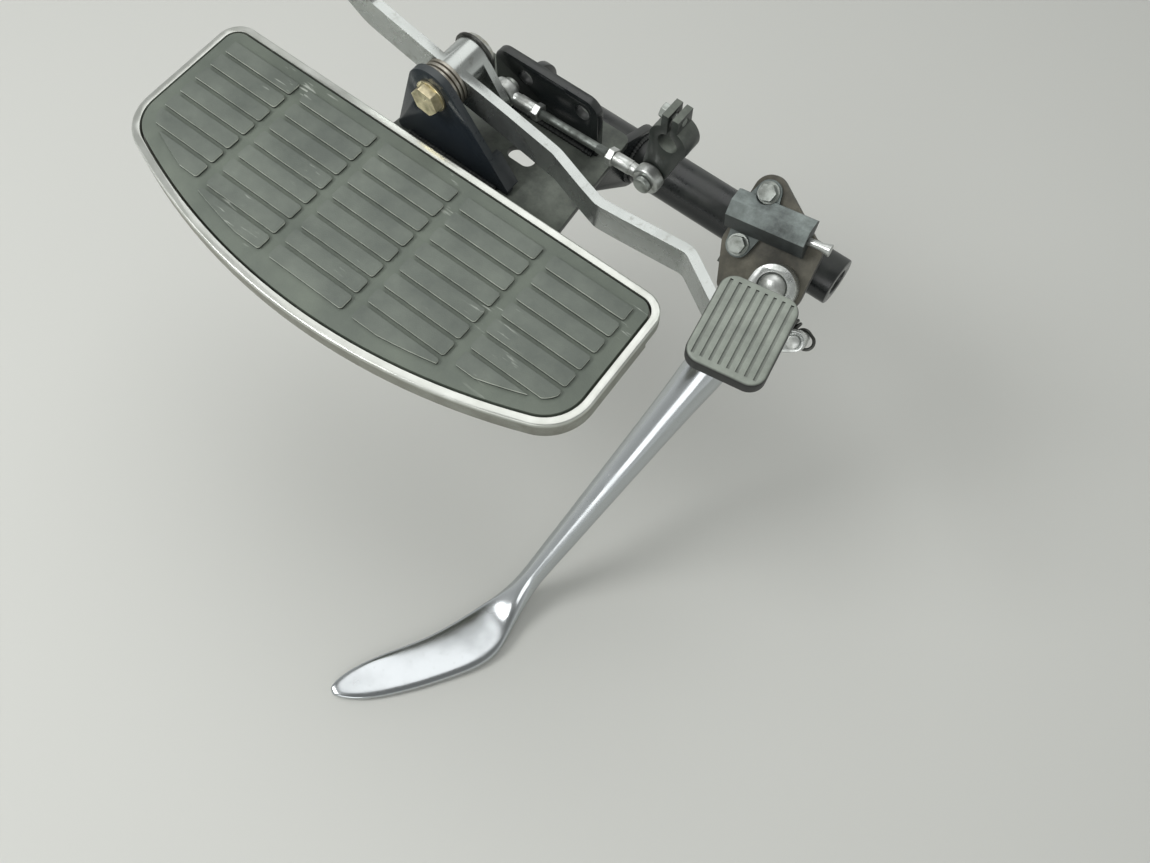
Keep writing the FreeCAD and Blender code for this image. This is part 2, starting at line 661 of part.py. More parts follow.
def make_pan():
    """Cast pan: rim, floor, ribs below and two hinge knuckles."""
    rim_top = size("rim_top_z")
    rim_bottom = size("rim_bottom_z")
    floor_top = size("floor_top_z")
    floor_bottom = floor_top - size("floor_thickness")
    solid = board_prism(rim_bottom, rim_top)
    top_edges = [e for e in solid.Edges if e.CenterOfMass.z > rim_top - 1e-6]
    solid = solid.makeFillet(size("rim_fillet"), top_edges)
    width = size("rim_width")
    solid = solid.cut(board_inset(width, floor_top, rim_top + 1))
    solid = solid.cut(board_inset(width, rim_bottom - 1, floor_bottom))
    near = Part.makeBox(500, size("lip_start_y") - 60, floor_bottom - rim_bottom + 1,
                        vec(-250, 60, rim_bottom - 1))
    solid = solid.cut(near)
    inside = board_inset(width / 2, floor_bottom - size("rib_depth"), floor_bottom)
    y = size("hinge_y")
    rib_start = size("lip_start_y") + 2
    ribs = []
    gap = size("bar_pitch_x")
    thick = size("rib_thickness")
    for i in range(-2, 3):
        x = size("bumper_x") + gap * i + gap / 2 - 4
        ribs.append(Part.makeBox(thick, 140, size("rib_depth"),
                                 vec(x, rib_start, floor_bottom - size("rib_depth"))))
    ribs.append(Part.makeBox(400, thick, size("rib_depth"),
                             vec(-180, rib_start + 36, floor_bottom - size("rib_depth"))))
    ribs = [rib.common(inside) for rib in ribs]
    knuckles = []
    radius = size("knuckle_radius")
    z = size("hinge_z")
    for x in (size("hinge_front_x"), size("hinge_rear_x")):
        outline = hull([
            (y, z, radius),
            (y + 12, floor_bottom - 1.0, 2.0),
            (y - 3, floor_bottom - 1.0, 2.0),
        ])
        knuckles.append(prism(outline, "YZ", x - size("knuckle_width") / 2, size("knuckle_width")))
    solid = fused(solid, *ribs, *knuckles)
    lowest = floor_bottom - size("rib_depth") - 1
    keep_out = Part.makeCylinder(size("bumper_radius") + 3, floor_bottom - lowest,
                                 vec(size("bumper_x"), bumper_y(), lowest))
    solid = solid.cut(keep_out)
    hole = size("hinge_pin_radius") + size("pin_clearance")
    for x in (size("hinge_front_x"), size("hinge_rear_x")):
        solid = solid.cut(cylinder("YZ", y, z, x - 15, 30, hole))
    keep("footboard_pan", solid)


def make_mat():
    """Rubber mat: a sheet with five groups of raised bars, cut off along its edge."""
    inset = size("rim_width") + size("mat_edge_gap")
    sheet_solid = board_inset(inset, size("floor_top_z"), size("mat_top_z"))
    clip = board_inset(size("bar_inset"), size("mat_top_z"), 0.0)
    bars = []
    corner = size("bar_corner")
    for group in range(5):
        x = size("bar_first_x") - group * size("bar_pitch_x")
        for i in range(8):
            y = size("bar_first_y") + i * size("bar_pitch_y")
            far_x = x + size("bar_length")
            far_y = y + size("bar_width")
            edge = [(x, y, corner), (far_x, y, corner), (far_x, far_y, corner), (x, far_y, corner)]
            bar = prism(rounded(edge), "XY", size("mat_top_z"), -size("mat_top_z"))
            bar = bar.common(clip)
            if bar.Volume > 30:
                bars.append(bar)
    keep("footboard_mat", fused(sheet_solid, *bars))


def lug_circles():
    """Lever lug seen from the side: round the pivot, wide at its foot."""
    foot = size("base_top_z") + size("lug_foot_corner")
    return [
        (size("pivot_x"), size("pivot_z"), size("lug_head_radius")),
        (size("lug_foot_rear_x"), foot, size("lug_foot_corner")),
        (size("lug_foot_front_x"), foot, size("lug_foot_corner")),
    ]


def make_lug():
    """Upright lug for the lever pivot, its rear edge turned in at the foot."""
    start = size("lug_inner_y")
    solid = prism(hull(lug_circles()), "XZ", start, size("lug_thickness"))
    thick = size("lug_flange_thickness")
    width = size("lug_flange_width")
    wall = prism(hull(lug_circles()), "XZ", start - width, width)
    inner = [(x, z, max(r - thick, 0.5)) for x, z, r in lug_circles()]
    wall = wall.cut(prism(hull(inner), "XZ", start - width, width))
    bottom = size("base_top_z")
    top = size("lug_flange_top_z")
    rear = Part.makeBox(60, width, top - bottom - thick, vec(size("lug_foot_rear_x") - 20, start - width, bottom + thick))
    flange = wall.common(rear)
    solid = fused(solid, flange)
    hole = size("pivot_radius") + size("bolt_clearance")
    drill = cylinder("XZ", size("pivot_x"), size("pivot_z"), start - 20, 60, hole)
    keep("lever_lug", solid.cut(drill))


def make_pivot():
    """Pivot bolt from the outside, with washers, and a circlip on its inner end."""
    x = size("pivot_x")
    z = size("pivot_z")
    outer = size("lug_inner_y") + size("lug_thickness")
    clip = size("hub_inner_y") - size("face_gap") - size("circlip_thickness")
    radius = size("pivot_radius")
    dome = size("pivot_dome_radius")
    height = size("pivot_dome_height")
    head = hexagon("XZ", x, z, outer, size("pivot_head_height"), size("pivot_head_flats"), 10)
    collar = cylinder("XZ", x, z, outer, 1.6, size("pivot_head_flats") * 0.62)
    shank = cylinder("XZ", x, z, clip, outer - clip, radius)
    inner_end = Part.makeCone(dome - 2.5, dome, height, vec(x, clip - height, z), vec(0, 1, 0))
    keep("lever_pivot_bolt", fused(head, collar, shank, inner_end))
    bore = radius + size("bolt_clearance")
    start = clip
    washer = cylinder("XZ", x, z, start, size("circlip_thickness"), size("circlip_radius"))
    keep("pivot_circlip", washer.cut(cylinder("XZ", x, z, start - 1, 5, bore)))
    # Each washer of the stack: radius and its share of the stack's height.
    stack = [(15.0, 0.22), (12.5, 0.12), (15.0, 0.22), (12.5, 0.12), (15.0, 0.32)]
    bottom = size("lever_inner_y") + size("lever_thickness") + size("face_gap")
    total = size("lug_inner_y") - bottom
    discs = []
    for disc_radius, share in stack:
        discs.append(cylinder("XZ", x, z, bottom, share * total, disc_radius))
        bottom += share * total
    hole = cylinder("XZ", x, z, bottom - 2 * total, 3 * total, bore)
    keep("lever_washers", fused(*discs).cut(hole))


def lever_side():
    """Middle line of the lever bar seen from the side, from the heel to the toe."""
    x = size("pivot_x")
    z = size("pivot_z")
    level = size("heel_top_z") - size("heel_pad_thickness") - size("heel_plate_thickness")
    level -= size("lever_height") / 2
    return [
        (size("heel_x") - 12, level),
        (size("heel_x") + 18, level),
        (x - 183, z - 6.3),
        (x - 155, z - 10.5),
        (x - 135, z - 13.7),
        (x - 107, z - 17),
        (x - 80, z - 18.3),
        (x - 38, z - 8),
        (x, z),
        (x + 59, z + 15),
        (size("toe_x"), size("toe_z")),
    ]


def lever_plan():
    """Middle line of the lever bar seen from above, from the toe to the heel."""
    x = size("pivot_x")
    near = size("lever_inner_y") + size("lever_thickness") / 2
    far = near + size("lever_jog")
    return [
        (size("toe_x") + 20, near),
        (x - 80, near),
        (x - 121, far),
        (x - 183, far),
        (size("heel_x") - 5, size("heel_y") + 7),
    ]


def make_lever():
    """Forged gear lever: flat bar bent in both views, with its hub and drop arm."""
    tall = prism(band(lever_side(), 22.0, size("lever_height") / 2), "XZ", 0.0, 200.0)
    wide = prism(band(lever_plan(), 14.0, size("lever_thickness") / 2), "XY", -60.0, 220.0)
    bar = tall.common(wide)
    x = size("pivot_x")
    z = size("pivot_z")
    outer = size("lever_inner_y") + size("lever_thickness")
    inner = size("hub_inner_y")
    hub = cylinder("XZ", x, z, inner, outer - inner, size("hub_radius"))
    drop = prism(hull([
        (x, z, size("hub_radius")),
        (size("front_eye_x"), size("front_eye_z"), size("eye_radius") - 1),
    ]), "XZ", inner, size("drop_thickness"))
    toe = cylinder("XZ", size("toe_x"), size("toe_z"), size("lever_inner_y"),
                   size("lever_thickness"), size("toe_rubber_radius") - 1)
    solid = fused(bar, hub, drop, toe)
    hole = size("pivot_radius") + size("pin_clearance")
    solid = solid.cut(cylinder("XZ", x, z, 0, 100, hole))
    eye_hole = size("eye_pin_radius") + size("bolt_clearance")
    solid = solid.cut(cylinder("XZ", size("front_eye_x"), size("front_eye_z"), 0, 40, eye_hole))
    toe_hole = size("toe_pin_radius") + size("bolt_clearance")
    solid = solid.cut(cylinder("XZ", size("toe_x"), size("toe_z"), 0, 100, toe_hole))
    keep("gear_lever", solid)


def make_toe_peg():
    """Steel pin riveted through the bar, with a ribbed rubber sleeve."""
    x = size("toe_x")
    z = size("toe_z")
    start = size("lever_inner_y") - 2
    sleeve = size("lever_inner_y") + size("lever_thickness") + size("face_gap")
    length = size("toe_rubber_length")
    pin = cylinder("XZ", x, z, start, sleeve - start + length + 2, size("toe_pin_radius"))
    cap = cylinder("XZ", x, z, sleeve + length + size("bolt_clearance"), 2, size("toe_pin_radius") + 3)
    keep("toe_peg_pin", fused(pin, cap))
    radius = size("toe_rubber_radius")
    rubber = cylinder("XZ", x, z, sleeve, length, radius - 1)
    rings = []
    for i in range(6):
        rings.append(cylinder("XZ", x, z, sleeve + 2 + i * (length - 7) / 5, 3, radius))
    bore = cylinder("XZ", x, z, sleeve - 1, length + 2, size("toe_pin_radius") + size("bolt_clearance"))
    keep("toe_peg_rubber", fused(rubber, *rings).cut(bore))


def make_heel_pad():
    """Heel pad: grooved rubber on a small plate, with the stud that holds it."""
    x = size("heel_x")
    y = size("heel_y")
    half_x = size("heel_pad_x") / 2
    half_y = size("heel_pad_y") / 2
    corner = size("heel_pad_corner")
    top = size("heel_top_z")
    bottom = top - size("heel_pad_thickness")

    def outline(smaller):
        return rounded([
            (x - half_x + smaller, y - half_y + smaller, corner - smaller),
            (x + half_x - smaller, y - half_y + smaller, corner - smaller),
            (x + half_x - smaller, y + half_y - smaller, corner - smaller),
            (x - half_x + smaller, y + half_y - smaller, corner - smaller),
        ])

    pad = prism(outline(0.0), "XY", bottom, top - bottom)
    rims = [e for e in pad.Edges if e.CenterOfMass.z > top - 1e-6]
    pad = pad.makeFillet(2.0, rims)
    depth = size("heel_groove_depth")
    width = size("heel_groove_width")
    count = 8
    for i in range(count):
        groove_x = x - half_x + (i + 1) * 2 * half_x / (count + 1)
        groove = Part.makeBox(width, 2 * half_y - 8, depth + 1,
                              vec(groove_x - width / 2, y - half_y + 4, top - depth))
        pad = pad.cut(groove)
    thick = size("heel_plate_thickness")
    base = prism(outline(2.0), "XY", bottom - thick, thick)
    for label, piece in (("heel_pad", pad), ("heel_pad_plate", base)):
        piece.rotate(vec(x, y), vec(0, 0, 1), size("heel_turn_deg"))
        keep(label, piece)


def rod_frame():
    """Start, direction and length of the line between the two eyes."""
    front = vec(size("front_eye_x"), size("rod_y"), size("front_eye_z"))
    rear = vec(size("rear_eye_x"), size("rod_y"), size("rear_eye_z"))
    way = rear - front
    length = way.Length
    way.normalize()
    return front, rear, way, length


def rod_end(label, centre, way, hole):
    """Rod end: a round eye on a threaded shank."""
    start = size("rod_y") - size("eye_width") / 2
    eye = cylinder("XZ", centre.x, centre.z, start, size("eye_width"), size("eye_radius"))
    rims = [e for e in eye.Edges if e.Length > 3 * size("eye_radius")]
    eye = eye.makeFillet(1.5, [e for e in rims if len(e.Vertexes) == 1])
    near = size("eye_radius") + 3
    long = size("rod_end_neck_length")
    shank = Part.makeCylinder(size("rod_end_neck_radius"), long - near, centre + way * near, way)
    neck = Part.makeCylinder(size("eye_width") / 2, near + 1, centre, way)
    shank = shank.fuse(neck).cut(cylinder("XZ", centre.x, centre.z, 0, 60, size("eye_radius") - 3))
    solid = fused(eye, shank)
    solid = solid.cut(cylinder("XZ", centre.x, centre.z, 0, 60, hole))
    inside = Part.makeCylinder(size("rod_radius") + size("bolt_clearance"), 100,
                               centre + way * (near + 1), way)
    keep(label, solid.cut(inside))


def make_shift_rod():
    """Shift rod with a rod end and a lock nut at each end."""
    front, rear, way, length = rod_frame()
    seat = size("eye_radius") + 4 + size("bolt_clearance")
    rod = Part.makeCylinder(size("rod_radius"), length - 2 * seat, front + way * seat, way)
    keep("shift_rod", rod)
    pin = size("eye_pin_radius")
    rod_end("rod_end_front", front, way, pin + size("pin_clearance"))
    rod_end("rod_end_rear", rear, way * -1, pin + size("rear_eye_play"))
    nuts = []
    flats = size("nut_flats")
    thick = size("nut_thickness")
    neck = size("rod_end_neck_length") + size("bolt_clearance")
    for start, direction in ((front, way), (rear, way * -1)):
        nut = hexagon("XY", 0, 0, 0, thick, flats)
        nut = nut.cut(Part.makeCylinder(size("rod_radius") + size("bolt_clearance"), thick))
        turn = FreeCAD.Rotation(vec(0, 0, 1), direction)
        nut.Placement = FreeCAD.Placement(start + direction * neck, turn)
        nuts.append(nut)
    keep("rod_lock_nuts", Part.makeCompound(nuts))


def make_eye_bolts():
    """Bolts through the rod ends: the front one sits in the lever, the rear one in the arm."""
    pin = size("eye_pin_radius")
    head = size("eye_head_radius")
    height = size("eye_head_height")
    half = size("eye_width") / 2 + size("face_gap")
    y = size("rod_y")
    x = size("front_eye_x")
    z = size("front_eye_z")
    end = size("hub_inner_y") + size("drop_thickness")
    shank = cylinder("XZ", x, z, y - half, end - y + half, pin)
    keep("front_eye_bolt", fused(shank, cylinder("XZ", x, z, y - half - height, height, head)))
    x = size("rear_eye_x")
    z = size("rear_eye_z")
    start = y - half - size("arm_thickness")
    shank = cylinder("XZ", x, z, start, y + half - start, pin)
    keep("rear_eye_bolt", fused(shank, cylinder("XZ", x, z, y + half, height, head)))


def make_gearbox_arm():
    """Arm that clamps on the gearbox shaft: split hub, pinch bolt and flat arm."""
    x = size("arm_x")
    z = size("arm_z")
    radius = size("arm_hub_radius")
    length = size("arm_hub_length")
    start = size("rod_y") - size("eye_width") / 2 - size("face_gap") - size("arm_thickness")
    eye_x = size("rear_eye_x")
    eye_z = size("rear_eye_z")
    arm = prism(hull([
        (x, z, radius - 1),
        (eye_x, eye_z, size("eye_radius") - 1),
    ]), "XZ", start, size("arm_thickness"))
    hub_y = start + size("arm_thickness") - length
    hub = cylinder("XZ", x, z, hub_y, length, radius)
    wing = size("arm_bolt_radius") + 3
    block = Part.makeBox(2 * wing, length, radius + 8, vec(x - wing, hub_y, z))
    solid = fused(arm, hub, block)
    solid = solid.cut(cylinder("XZ", x, z, 0, 60, size("arm_bore_radius")))
    slit = size("arm_split")
    solid = solid.cut(Part.makeBox(slit, 60, radius + 20, vec(x - slit / 2, 0, z)))
    bolt_z = z + radius + 8 - wing
    bolt_y = hub_y + length / 2
    hole = Part.makeCylinder(size("arm_bolt_radius") + size("bolt_clearance"), 60,
                             vec(x - 30, bolt_y, bolt_z), vec(1, 0, 0))
    solid = solid.cut(hole)
    pin = size("eye_pin_radius") + size("bolt_clearance")
    solid = solid.cut(cylinder("XZ", eye_x, eye_z, 0, 60, pin))
    keep("gearbox_arm", solid)
    shank = Part.makeCylinder(size("arm_bolt_radius"), 2 * wing, vec(x - wing, bolt_y, bolt_z), vec(1, 0, 0))
    head = hexagon("YZ", bolt_y, bolt_z, x + wing, 4.0, 8.0)
    keep("arm_pinch_bolt", fused(shank, head))


def stand_post():
    """Spring post: opposite the middle of the hook's swing, so that both ends pull alike."""
    rest = math.degrees(math.atan2(size("hook_v"), size("hook_u")))
    angle = math.radians(rest + size("stand_swing_deg") / 2 + 180)
    reach = size("post_distance")
    return reach * math.cos(angle), reach * math.sin(angle)


def make_stand_plate():
    """Stand plate, sketched on its own tilted plane: head, switch area and a strip to weld."""
    bolt_u = size("switch_bolt_u")
    outer = size("switch_bolt_outer_v")
    inner = size("switch_bolt_inner_v")
    head = size("stand_plate_head")
    strip = size("plate_outer_corner")
    area = prism(hull([
        (0.0, 0.0, head),
        (size("plate_rear_u"), size("stand_web_v") - 2, size("plate_rear_corner")),
        (bolt_u, inner, size("plate_inner_corner")),
        (bolt_u + 3, outer, size("plate_outer_corner")),
        (bolt_u - 5, outer + size("plate_front_step"), size("plate_front_corner")),
    ]), "XY", -size("stand_plate_thickness"), size("stand_plate_thickness"))
    strip = prism(hull([
        (size("stand_web_front") - strip, size("stand_web_v"), strip),
        (size("stand_web_rear"), size("stand_web_v"), strip),
    ]), "XY", -size("stand_plate_thickness"), size("stand_plate_thickness"))
    solid = fused(area, strip)
    thick = size("stand_plate_thickness")
    hole = size("stand_bolt_radius") + size("bolt_clearance")
    solid = solid.cut(cylinder("XY", 0, 0, -thick, thick, hole))
    small = size("flange_bolt_radius") + size("bolt_clearance")
    for v in (outer, inner):
        solid = solid.cut(cylinder("XY", bolt_u, v, -thick, thick, small))
    keep("stand_plate", solid, stand_placement())


def make_stand_web():
    """Web and rib between the stand plate and the rail."""
    thick = size("stand_plate_thickness")
    half = size("stand_web_thickness") / 2
    v = size("stand_web_v")
    rear = size("stand_web_rear")
    front = size("stand_web_front")
    deep = size("stand_web_depth")
    web = Part.makeBox(front - rear, 2 * half, deep, vec(rear, v - half, -thick - deep))
    rib_u = front - size("stand_rib_setback")
    low = (v + size("stand_rib_low_reach"), -thick - size("stand_rib_low_depth"))
    rib = prism(rounded([
        (v, -thick, 0.0),
        (v, -thick - deep, 0.0),
        (low[0], low[1], size("stand_rib_corner")),
        (v + size("stand_rib_reach"), -thick, 0.0),
    ]), "YZ", rib_u, 2 * half)
    shape = fused(web, rib)
    shape.Placement = stand_placement()
    shape = shape.cut(rail_cutter(size("weld_gap")))
    highest = sorted(shape.Solids, key=lambda s: s.Volume)[-1]
    keep("stand_web", highest)


def make_stand_bolt():
    """Domed pivot bolt of the side stand, sunk in the recess of the eye."""
    shoulder = size("face_gap") + size("eye_ring_height") - size("eye_ring_recess") + size("face_gap")
    thick = size("stand_plate_thickness")
    radius = size("stand_bolt_head_radius")
    height = size("stand_bolt_head_height")
    shank = cylinder("XY", 0, 0, -thick, thick + shoulder, size("stand_bolt_radius"))
    dome = size("stand_bolt_dome")
    ball = (radius ** 2 + dome ** 2) / (2 * dome)
    head = cylinder("XY", 0, 0, shoulder, height, radius)
    head = head.common(Part.makeSphere(ball, vec(0, 0, shoulder + height - ball)))
    keep("stand_pivot_bolt", fused(shank, head), stand_placement())


def make_switch():
    """Stand switch: faceted housing with two ears, its plunger and its bolts."""
    turn = FreeCAD.Rotation(vec(0, 0, 1), size("switch_turn_deg"))
    own = FreeCAD.Placement(vec(size("switch_u"), size("switch_v")), turn)
    half = size("switch_width") / 2
    top = size("switch_top_width") / 2
    high = size("switch_height")
    section = [(-half, 0, 0.0), (half, 0, 0.0), (half, high * 0.4, 0.0), (top, high, 0.0),
               (-top, high, 0.0), (-half, high * 0.4, 0.0)]
    body = prism(rounded(section), "YZ", -size("switch_length") / 2, size("switch_length"))
    body.Placement = own.multiply(body.Placement)
    bolt_u = size("switch_bolt_u")
    ears = []
    for v in (size("switch_bolt_outer_v"), size("switch_bolt_inner_v")):
        circles = [(bolt_u, v, size("switch_ear_radius")), (bolt_u, size("switch_v"), half)]
        ears.append(prism(hull(circles), "XY", 0.0, size("switch_ear_thickness")))
    solid = fused(body, *ears)
    hole = size("flange_bolt_radius") + size("bolt_clearance")
    head = size("flange_bolt_flange") + 0.4
    for v in (size("switch_bolt_outer_v"), size("switch_bolt_inner_v")):
        solid = solid.cut(cylinder("XY", bolt_u, v, -1, 30, hole))
        solid = solid.cut(cylinder("XY", bolt_u, v, size("switch_ear_thickness"), 30, head))
    keep("stand_switch", solid, stand_placement())
    root = vec(-size("switch_length") / 2, -size("plunger_offset") / 2, high / 2)
    flare = size("plunger_tip_length")
    straight = size("plunger_length") - flare
    stem = Part.makeCylinder(size("plunger_radius"), straight, root, vec(-1, 0, 0))
    tip = Part.makeCone(size("plunger_radius"), size("plunger_tip_radius"), flare,
                        root - vec(straight, 0, 0), vec(-1, 0, 0))
    plunger = fused(stem, tip)
    plunger.Placement = own.multiply(plunger.Placement)
    keep("switch_plunger", plunger, None)
    nodes["switch_plunger"].Placement = stand_placement().multiply(plunger.Placement)
    bolts = []
    for v in (size("switch_bolt_outer_v"), size("switch_bolt_inner_v")):
        seat = size("switch_ear_thickness")
        shank = cylinder("XY", bolt_u, v, -size("stand_plate_thickness"),
                         seat + size("stand_plate_thickness"), size("flange_bolt_radius"))
        flange = cylinder("XY", bolt_u, v, seat, size("flange_height"), size("flange_bolt_flange"))
        nut = hexagon("XY", bolt_u, v, seat, size("flange_bolt_height"), size("flange_bolt_flats"), 20)
        bolts.append(fused(shank, flange, nut))
    keep("switch_bolts", Part.makeCompound(bolts), stand_placement())


def leg_way():
    """Direction of the leg in the stand's own frame."""
    lean = math.radians(size("leg_lean_deg"))
    return vec(math.sin(lean), math.cos(lean), 0)


def make_stand_neck():
    """Forged neck of the stand: eye, flat bar, collar for the leg and arm for the hook."""
    way = leg_way()
    low = size("face_gap")
    high = size("eye_ring_height")
    start = size("leg_start")
    flat_end = way * (start - 12)
    bar = prism(hull([
        (0.0, 0.0, size("eye_ring_radius")),
        (flat_end.x, flat_end.y, 10.0),
    ][::1]), "XY", low, high)
    root = way * 40
    arm = prism(hull([
        (root.x, root.y, 9.0),
        (size("hook_u"), size("hook_v"), size("hook_arm_radius")),
    ]), "XY", low, high - 2)
    axis_start = way * (start - size("neck_length")) + vec(0, 0, size("leg_axis_w"))
    collar = Part.makeCylinder(size("neck_radius"), size("neck_length"), axis_start, way)
    solid = fused(bar, arm, collar)
    solid = solid.cut(cylinder("XY", 0, 0, -1, 40, size("stand_bolt_radius") + size("pin_clearance")))
    recess = size("stand_bolt_head_radius") + size("eye_recess_play")
    floor = low + high - size("eye_ring_recess")
    solid = solid.cut(cylinder("XY", 0, 0, floor, 40, recess))
    hook = size("hook_radius") + size("bolt_clearance")
    solid = solid.cut(cylinder("XY", size("hook_u"), size("hook_v"), -1, 40, hook))
    keep("stand_neck", solid, stand_placement())


def make_hook():
    """Spring hook: a pin through the neck's arm, waisted where the spring sits."""
    u = size("hook_u")
    v = size("hook_v")
    top = size("face_gap") + size("eye_ring_height") + 1.5
    spring = size("spring_w")
    radius = size("hook_radius")
    play = 1.6 * size("wire_radius")
    upper = cylinder("XY", u, v, spring + play, top - spring - play, radius)
    waist = cylinder("XY", u, v, spring - play, 2 * play, size("hook_groove_radius"))
    end = cylinder("XY", u, v, spring - play - 1.5, 1.5, radius)
    keep("spring_hook", fused(upper, waist, end), stand_placement())


def foot_frame():
    """Frame of the foot: along it, across it and up from the ground."""
    way = leg_way()
    bend = stand_placement().multVec(way * size("leg_length") + vec(0, 0, size("leg_axis_w")))
    lean = math.radians(size("ground_lean_deg"))
    up = vec(0, -math.sin(lean), math.cos(lean))
    turn = math.radians(size("foot_turn_deg"))
    along = vec(math.sin(turn), math.cos(turn), 0)
    along = (along - up * along.dot(up)).normalize()
    across = up.cross(along)
    origin = bend - up * size("foot_height")
    return FreeCAD.Placement(origin, FreeCAD.Rotation(along, across, up, "XYZ")), bend


# Foot of the stand, seen from above and from the side. Columns: distance from the bend,
# middle across, half width, thickness.
FOOT_SECTIONS = [
    (-7.0, 0.0, 7.2, 13.8),
    (2.0, 2.6, 9.9, 13.2),
    (10.0, 6.3, 13.6, 11.9),
    (20.0, 10.7, 16.5, 10.3),
    (32.0, 13.6, 17.8, 8.8),
    (46.0, 15.0, 17.3, 7.7),
    (65.0, 14.6, 15.6, 7.0),
    (87.0, 12.4, 15.4, 6.5),
    (103.0, 10.1, 14.4, 6.0),
    (120.0, 8.1, 11.6, 5.5),
    (131.0, 6.0, 7.0, 5.0),
    (136.0, 5.2, 3.2, 4.4),
]


def stadium(along, middle, half_width, thickness):
    """Cross section of the foot: flat above and below, round at both edges."""
    r = thickness / 2
    flat = half_width - r
    near = middle - flat
    far = middle + flat
    corners = [
        Part.LineSegment(vec(along, near, 0), vec(along, far, 0)),
        Part.Arc(vec(along, far, 0), vec(along, far + r, r), vec(along, far, thickness)),
        Part.LineSegment(vec(along, far, thickness), vec(along, near, thickness)),
        Part.Arc(vec(along, near, thickness), vec(along, near - r, r), vec(along, near, 0)),
    ]
    return Part.Wire([edge.toShape() for edge in corners])


def make_stand_leg():
    """Tapered leg with its foot forged flat along the ground."""
    way = leg_way()
    frame = stand_placement()
    start = way * size("leg_start") + vec(0, 0, size("leg_axis_w"))
    length = size("leg_length") - size("leg_start")
    leg = Part.makeCone(size("leg_top_radius"), size("leg_low_radius"), length, start, way)
    leg.Placement = frame.multiply(leg.Placement)
    own, bend = foot_frame()
    knee = Part.makeSphere(size("leg_low_radius"), bend)
    foot = Part.makeLoft([stadium(*row) for row in FOOT_SECTIONS], True, True)
    foot.Placement = own
    keep("stand_leg", fused(leg, knee, foot))


def make_spring_post():
    """Post on the underside of the stand plate for the fixed end of the spring."""
    u, v = stand_post()
    thick = size("stand_plate_thickness")
    spring = size("spring_w")
    play = 1.6 * size("wire_radius")
    shank = cylinder("XY", u, v, spring - play, -thick - spring + play, size("post_radius"))
    end = cylinder("XY", u, v, spring - play - 1.5, 1.5, size("post_radius") + 1.2)
    keep("spring_post", fused(shank, end), stand_placement())


def make_spring():
    """Return spring: close coils between two loops of wire."""
    post_u, post_v = stand_post()
    way = vec(size("hook_u") - post_u, size("hook_v") - post_v)
    span = way.Length
    lift = size("hook_drift")
    wire = size("wire_radius")
    post_loop = size("post_radius") + size("face_gap")
    hook_loop = size("hook_groove_radius") + size("hook_side_play")

    def loop(x, inner, longer):
        """Flat loop round a pin, longer away from the coils where the pin drifts."""
        ends = [(x, 0.0), (x + longer, 0.0)]
        outer = inner + 2 * wire
        if longer:
            outside = hull([(ends[0][0], 0.0, outer), (ends[1][0], 0.0, outer)])
            inside = hull([(ends[0][0], 0.0, inner), (ends[1][0], 0.0, inner)])
        else:
            outside = ring(x, 0.0, outer)
            inside = ring(x, 0.0, inner)
        whole = prism(outside, "XY", -wire, 2 * wire)
        return whole.cut(prism(inside, "XY", -wire, 2 * wire))

    first = post_loop + 2 * wire + 1.0
    last = span - hook_loop - 2 * wire - 1.0
    coils = int(size("spring_coils"))
    pitch = (last - first) / coils
    radius = size("spring_radius")
    profile = [Part.LineSegment(vec(last, 0), vec(first, 0)),
               Part.LineSegment(vec(first, 0), vec(first, radius - pitch / 2))]
    for i in range(coils):
        x = first + i * pitch
        profile.append(Part.Arc(vec(x, radius - pitch / 2), vec(x + pitch / 2, radius),
                                vec(x + pitch, radius - pitch / 2)))
    profile.append(Part.LineSegment(vec(last, radius - pitch / 2), vec(last, 0)))
    face = Part.Face(Part.Wire([g.toShape() for g in profile]))
    coil = face.revolve(vec(0, 0), vec(1, 0, 0), 360)
    tails = [
        Part.makeCylinder(0.9 * wire, first - post_loop, vec(post_loop + 0.5 * wire, 0), vec(1, 0, 0)),
        Part.makeCylinder(0.9 * wire, span - hook_loop - last, vec(last - 0.5 * wire, 0), vec(1, 0, 0)),
    ]
    solid = fused(coil, loop(0.0, post_loop, 0.0), loop(span, hook_loop, lift), *tails)
    solid = solid.cut(cylinder("XY", 0, 0, -9, 18, post_loop))
    solid = solid.cut(cylinder("XY", span, 0, -9, 18, hook_loop))
    turn = FreeCAD.Rotation(vec(1, 0, 0), way)
    local = FreeCAD.Placement(vec(post_u, post_v, size("spring_w")), turn)
    keep("stand_spring", solid, stand_placement().multiply(local))


make_rail()
make_mount_plate()
make_footboard_bracket()
make_hangers()
make_hinge_pins()
make_bumper()
make_pan()
make_mat()
make_lug()
make_pivot()
make_lever()
make_toe_peg()
make_heel_pad()
make_shift_rod()
make_eye_bolts()
make_gearbox_arm()
make_stand_plate()
make_stand_web()
make_stand_bolt()
make_switch()
make_stand_neck()
make_hook()
make_stand_leg()
make_spring_post()
make_spring()
doc.recompute()

for thing in doc.Objects:
    for state in thing.State:
        if state in ("Invalid", "Error"):
            raise RuntimeError("%s is %s" % (thing.Name, state))

os.makedirs("parts", exist_ok=True)
for label, piece in nodes.items():
    shape = piece.Shape
    if shape.isNull() or not shape.isValid() or shape.Volume <= 0:
        raise RuntimeError("%s has no valid shape" % label)
    shape.exportStep("parts/%s.step" % label)
print("pieces", len(nodes))
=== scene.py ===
# %% [markdown]
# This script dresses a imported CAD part: the left footboard of a cruiser motorcycle with its
# rubber mat, the heel and toe gear lever with its shift rod, and the side stand, all on the
# bracket and the piece of lower frame rail that carry them. The solids come from the CAD
# model, so everything here is in metres and already in its place: X runs forward, Y outwards
# to the left and Z up.

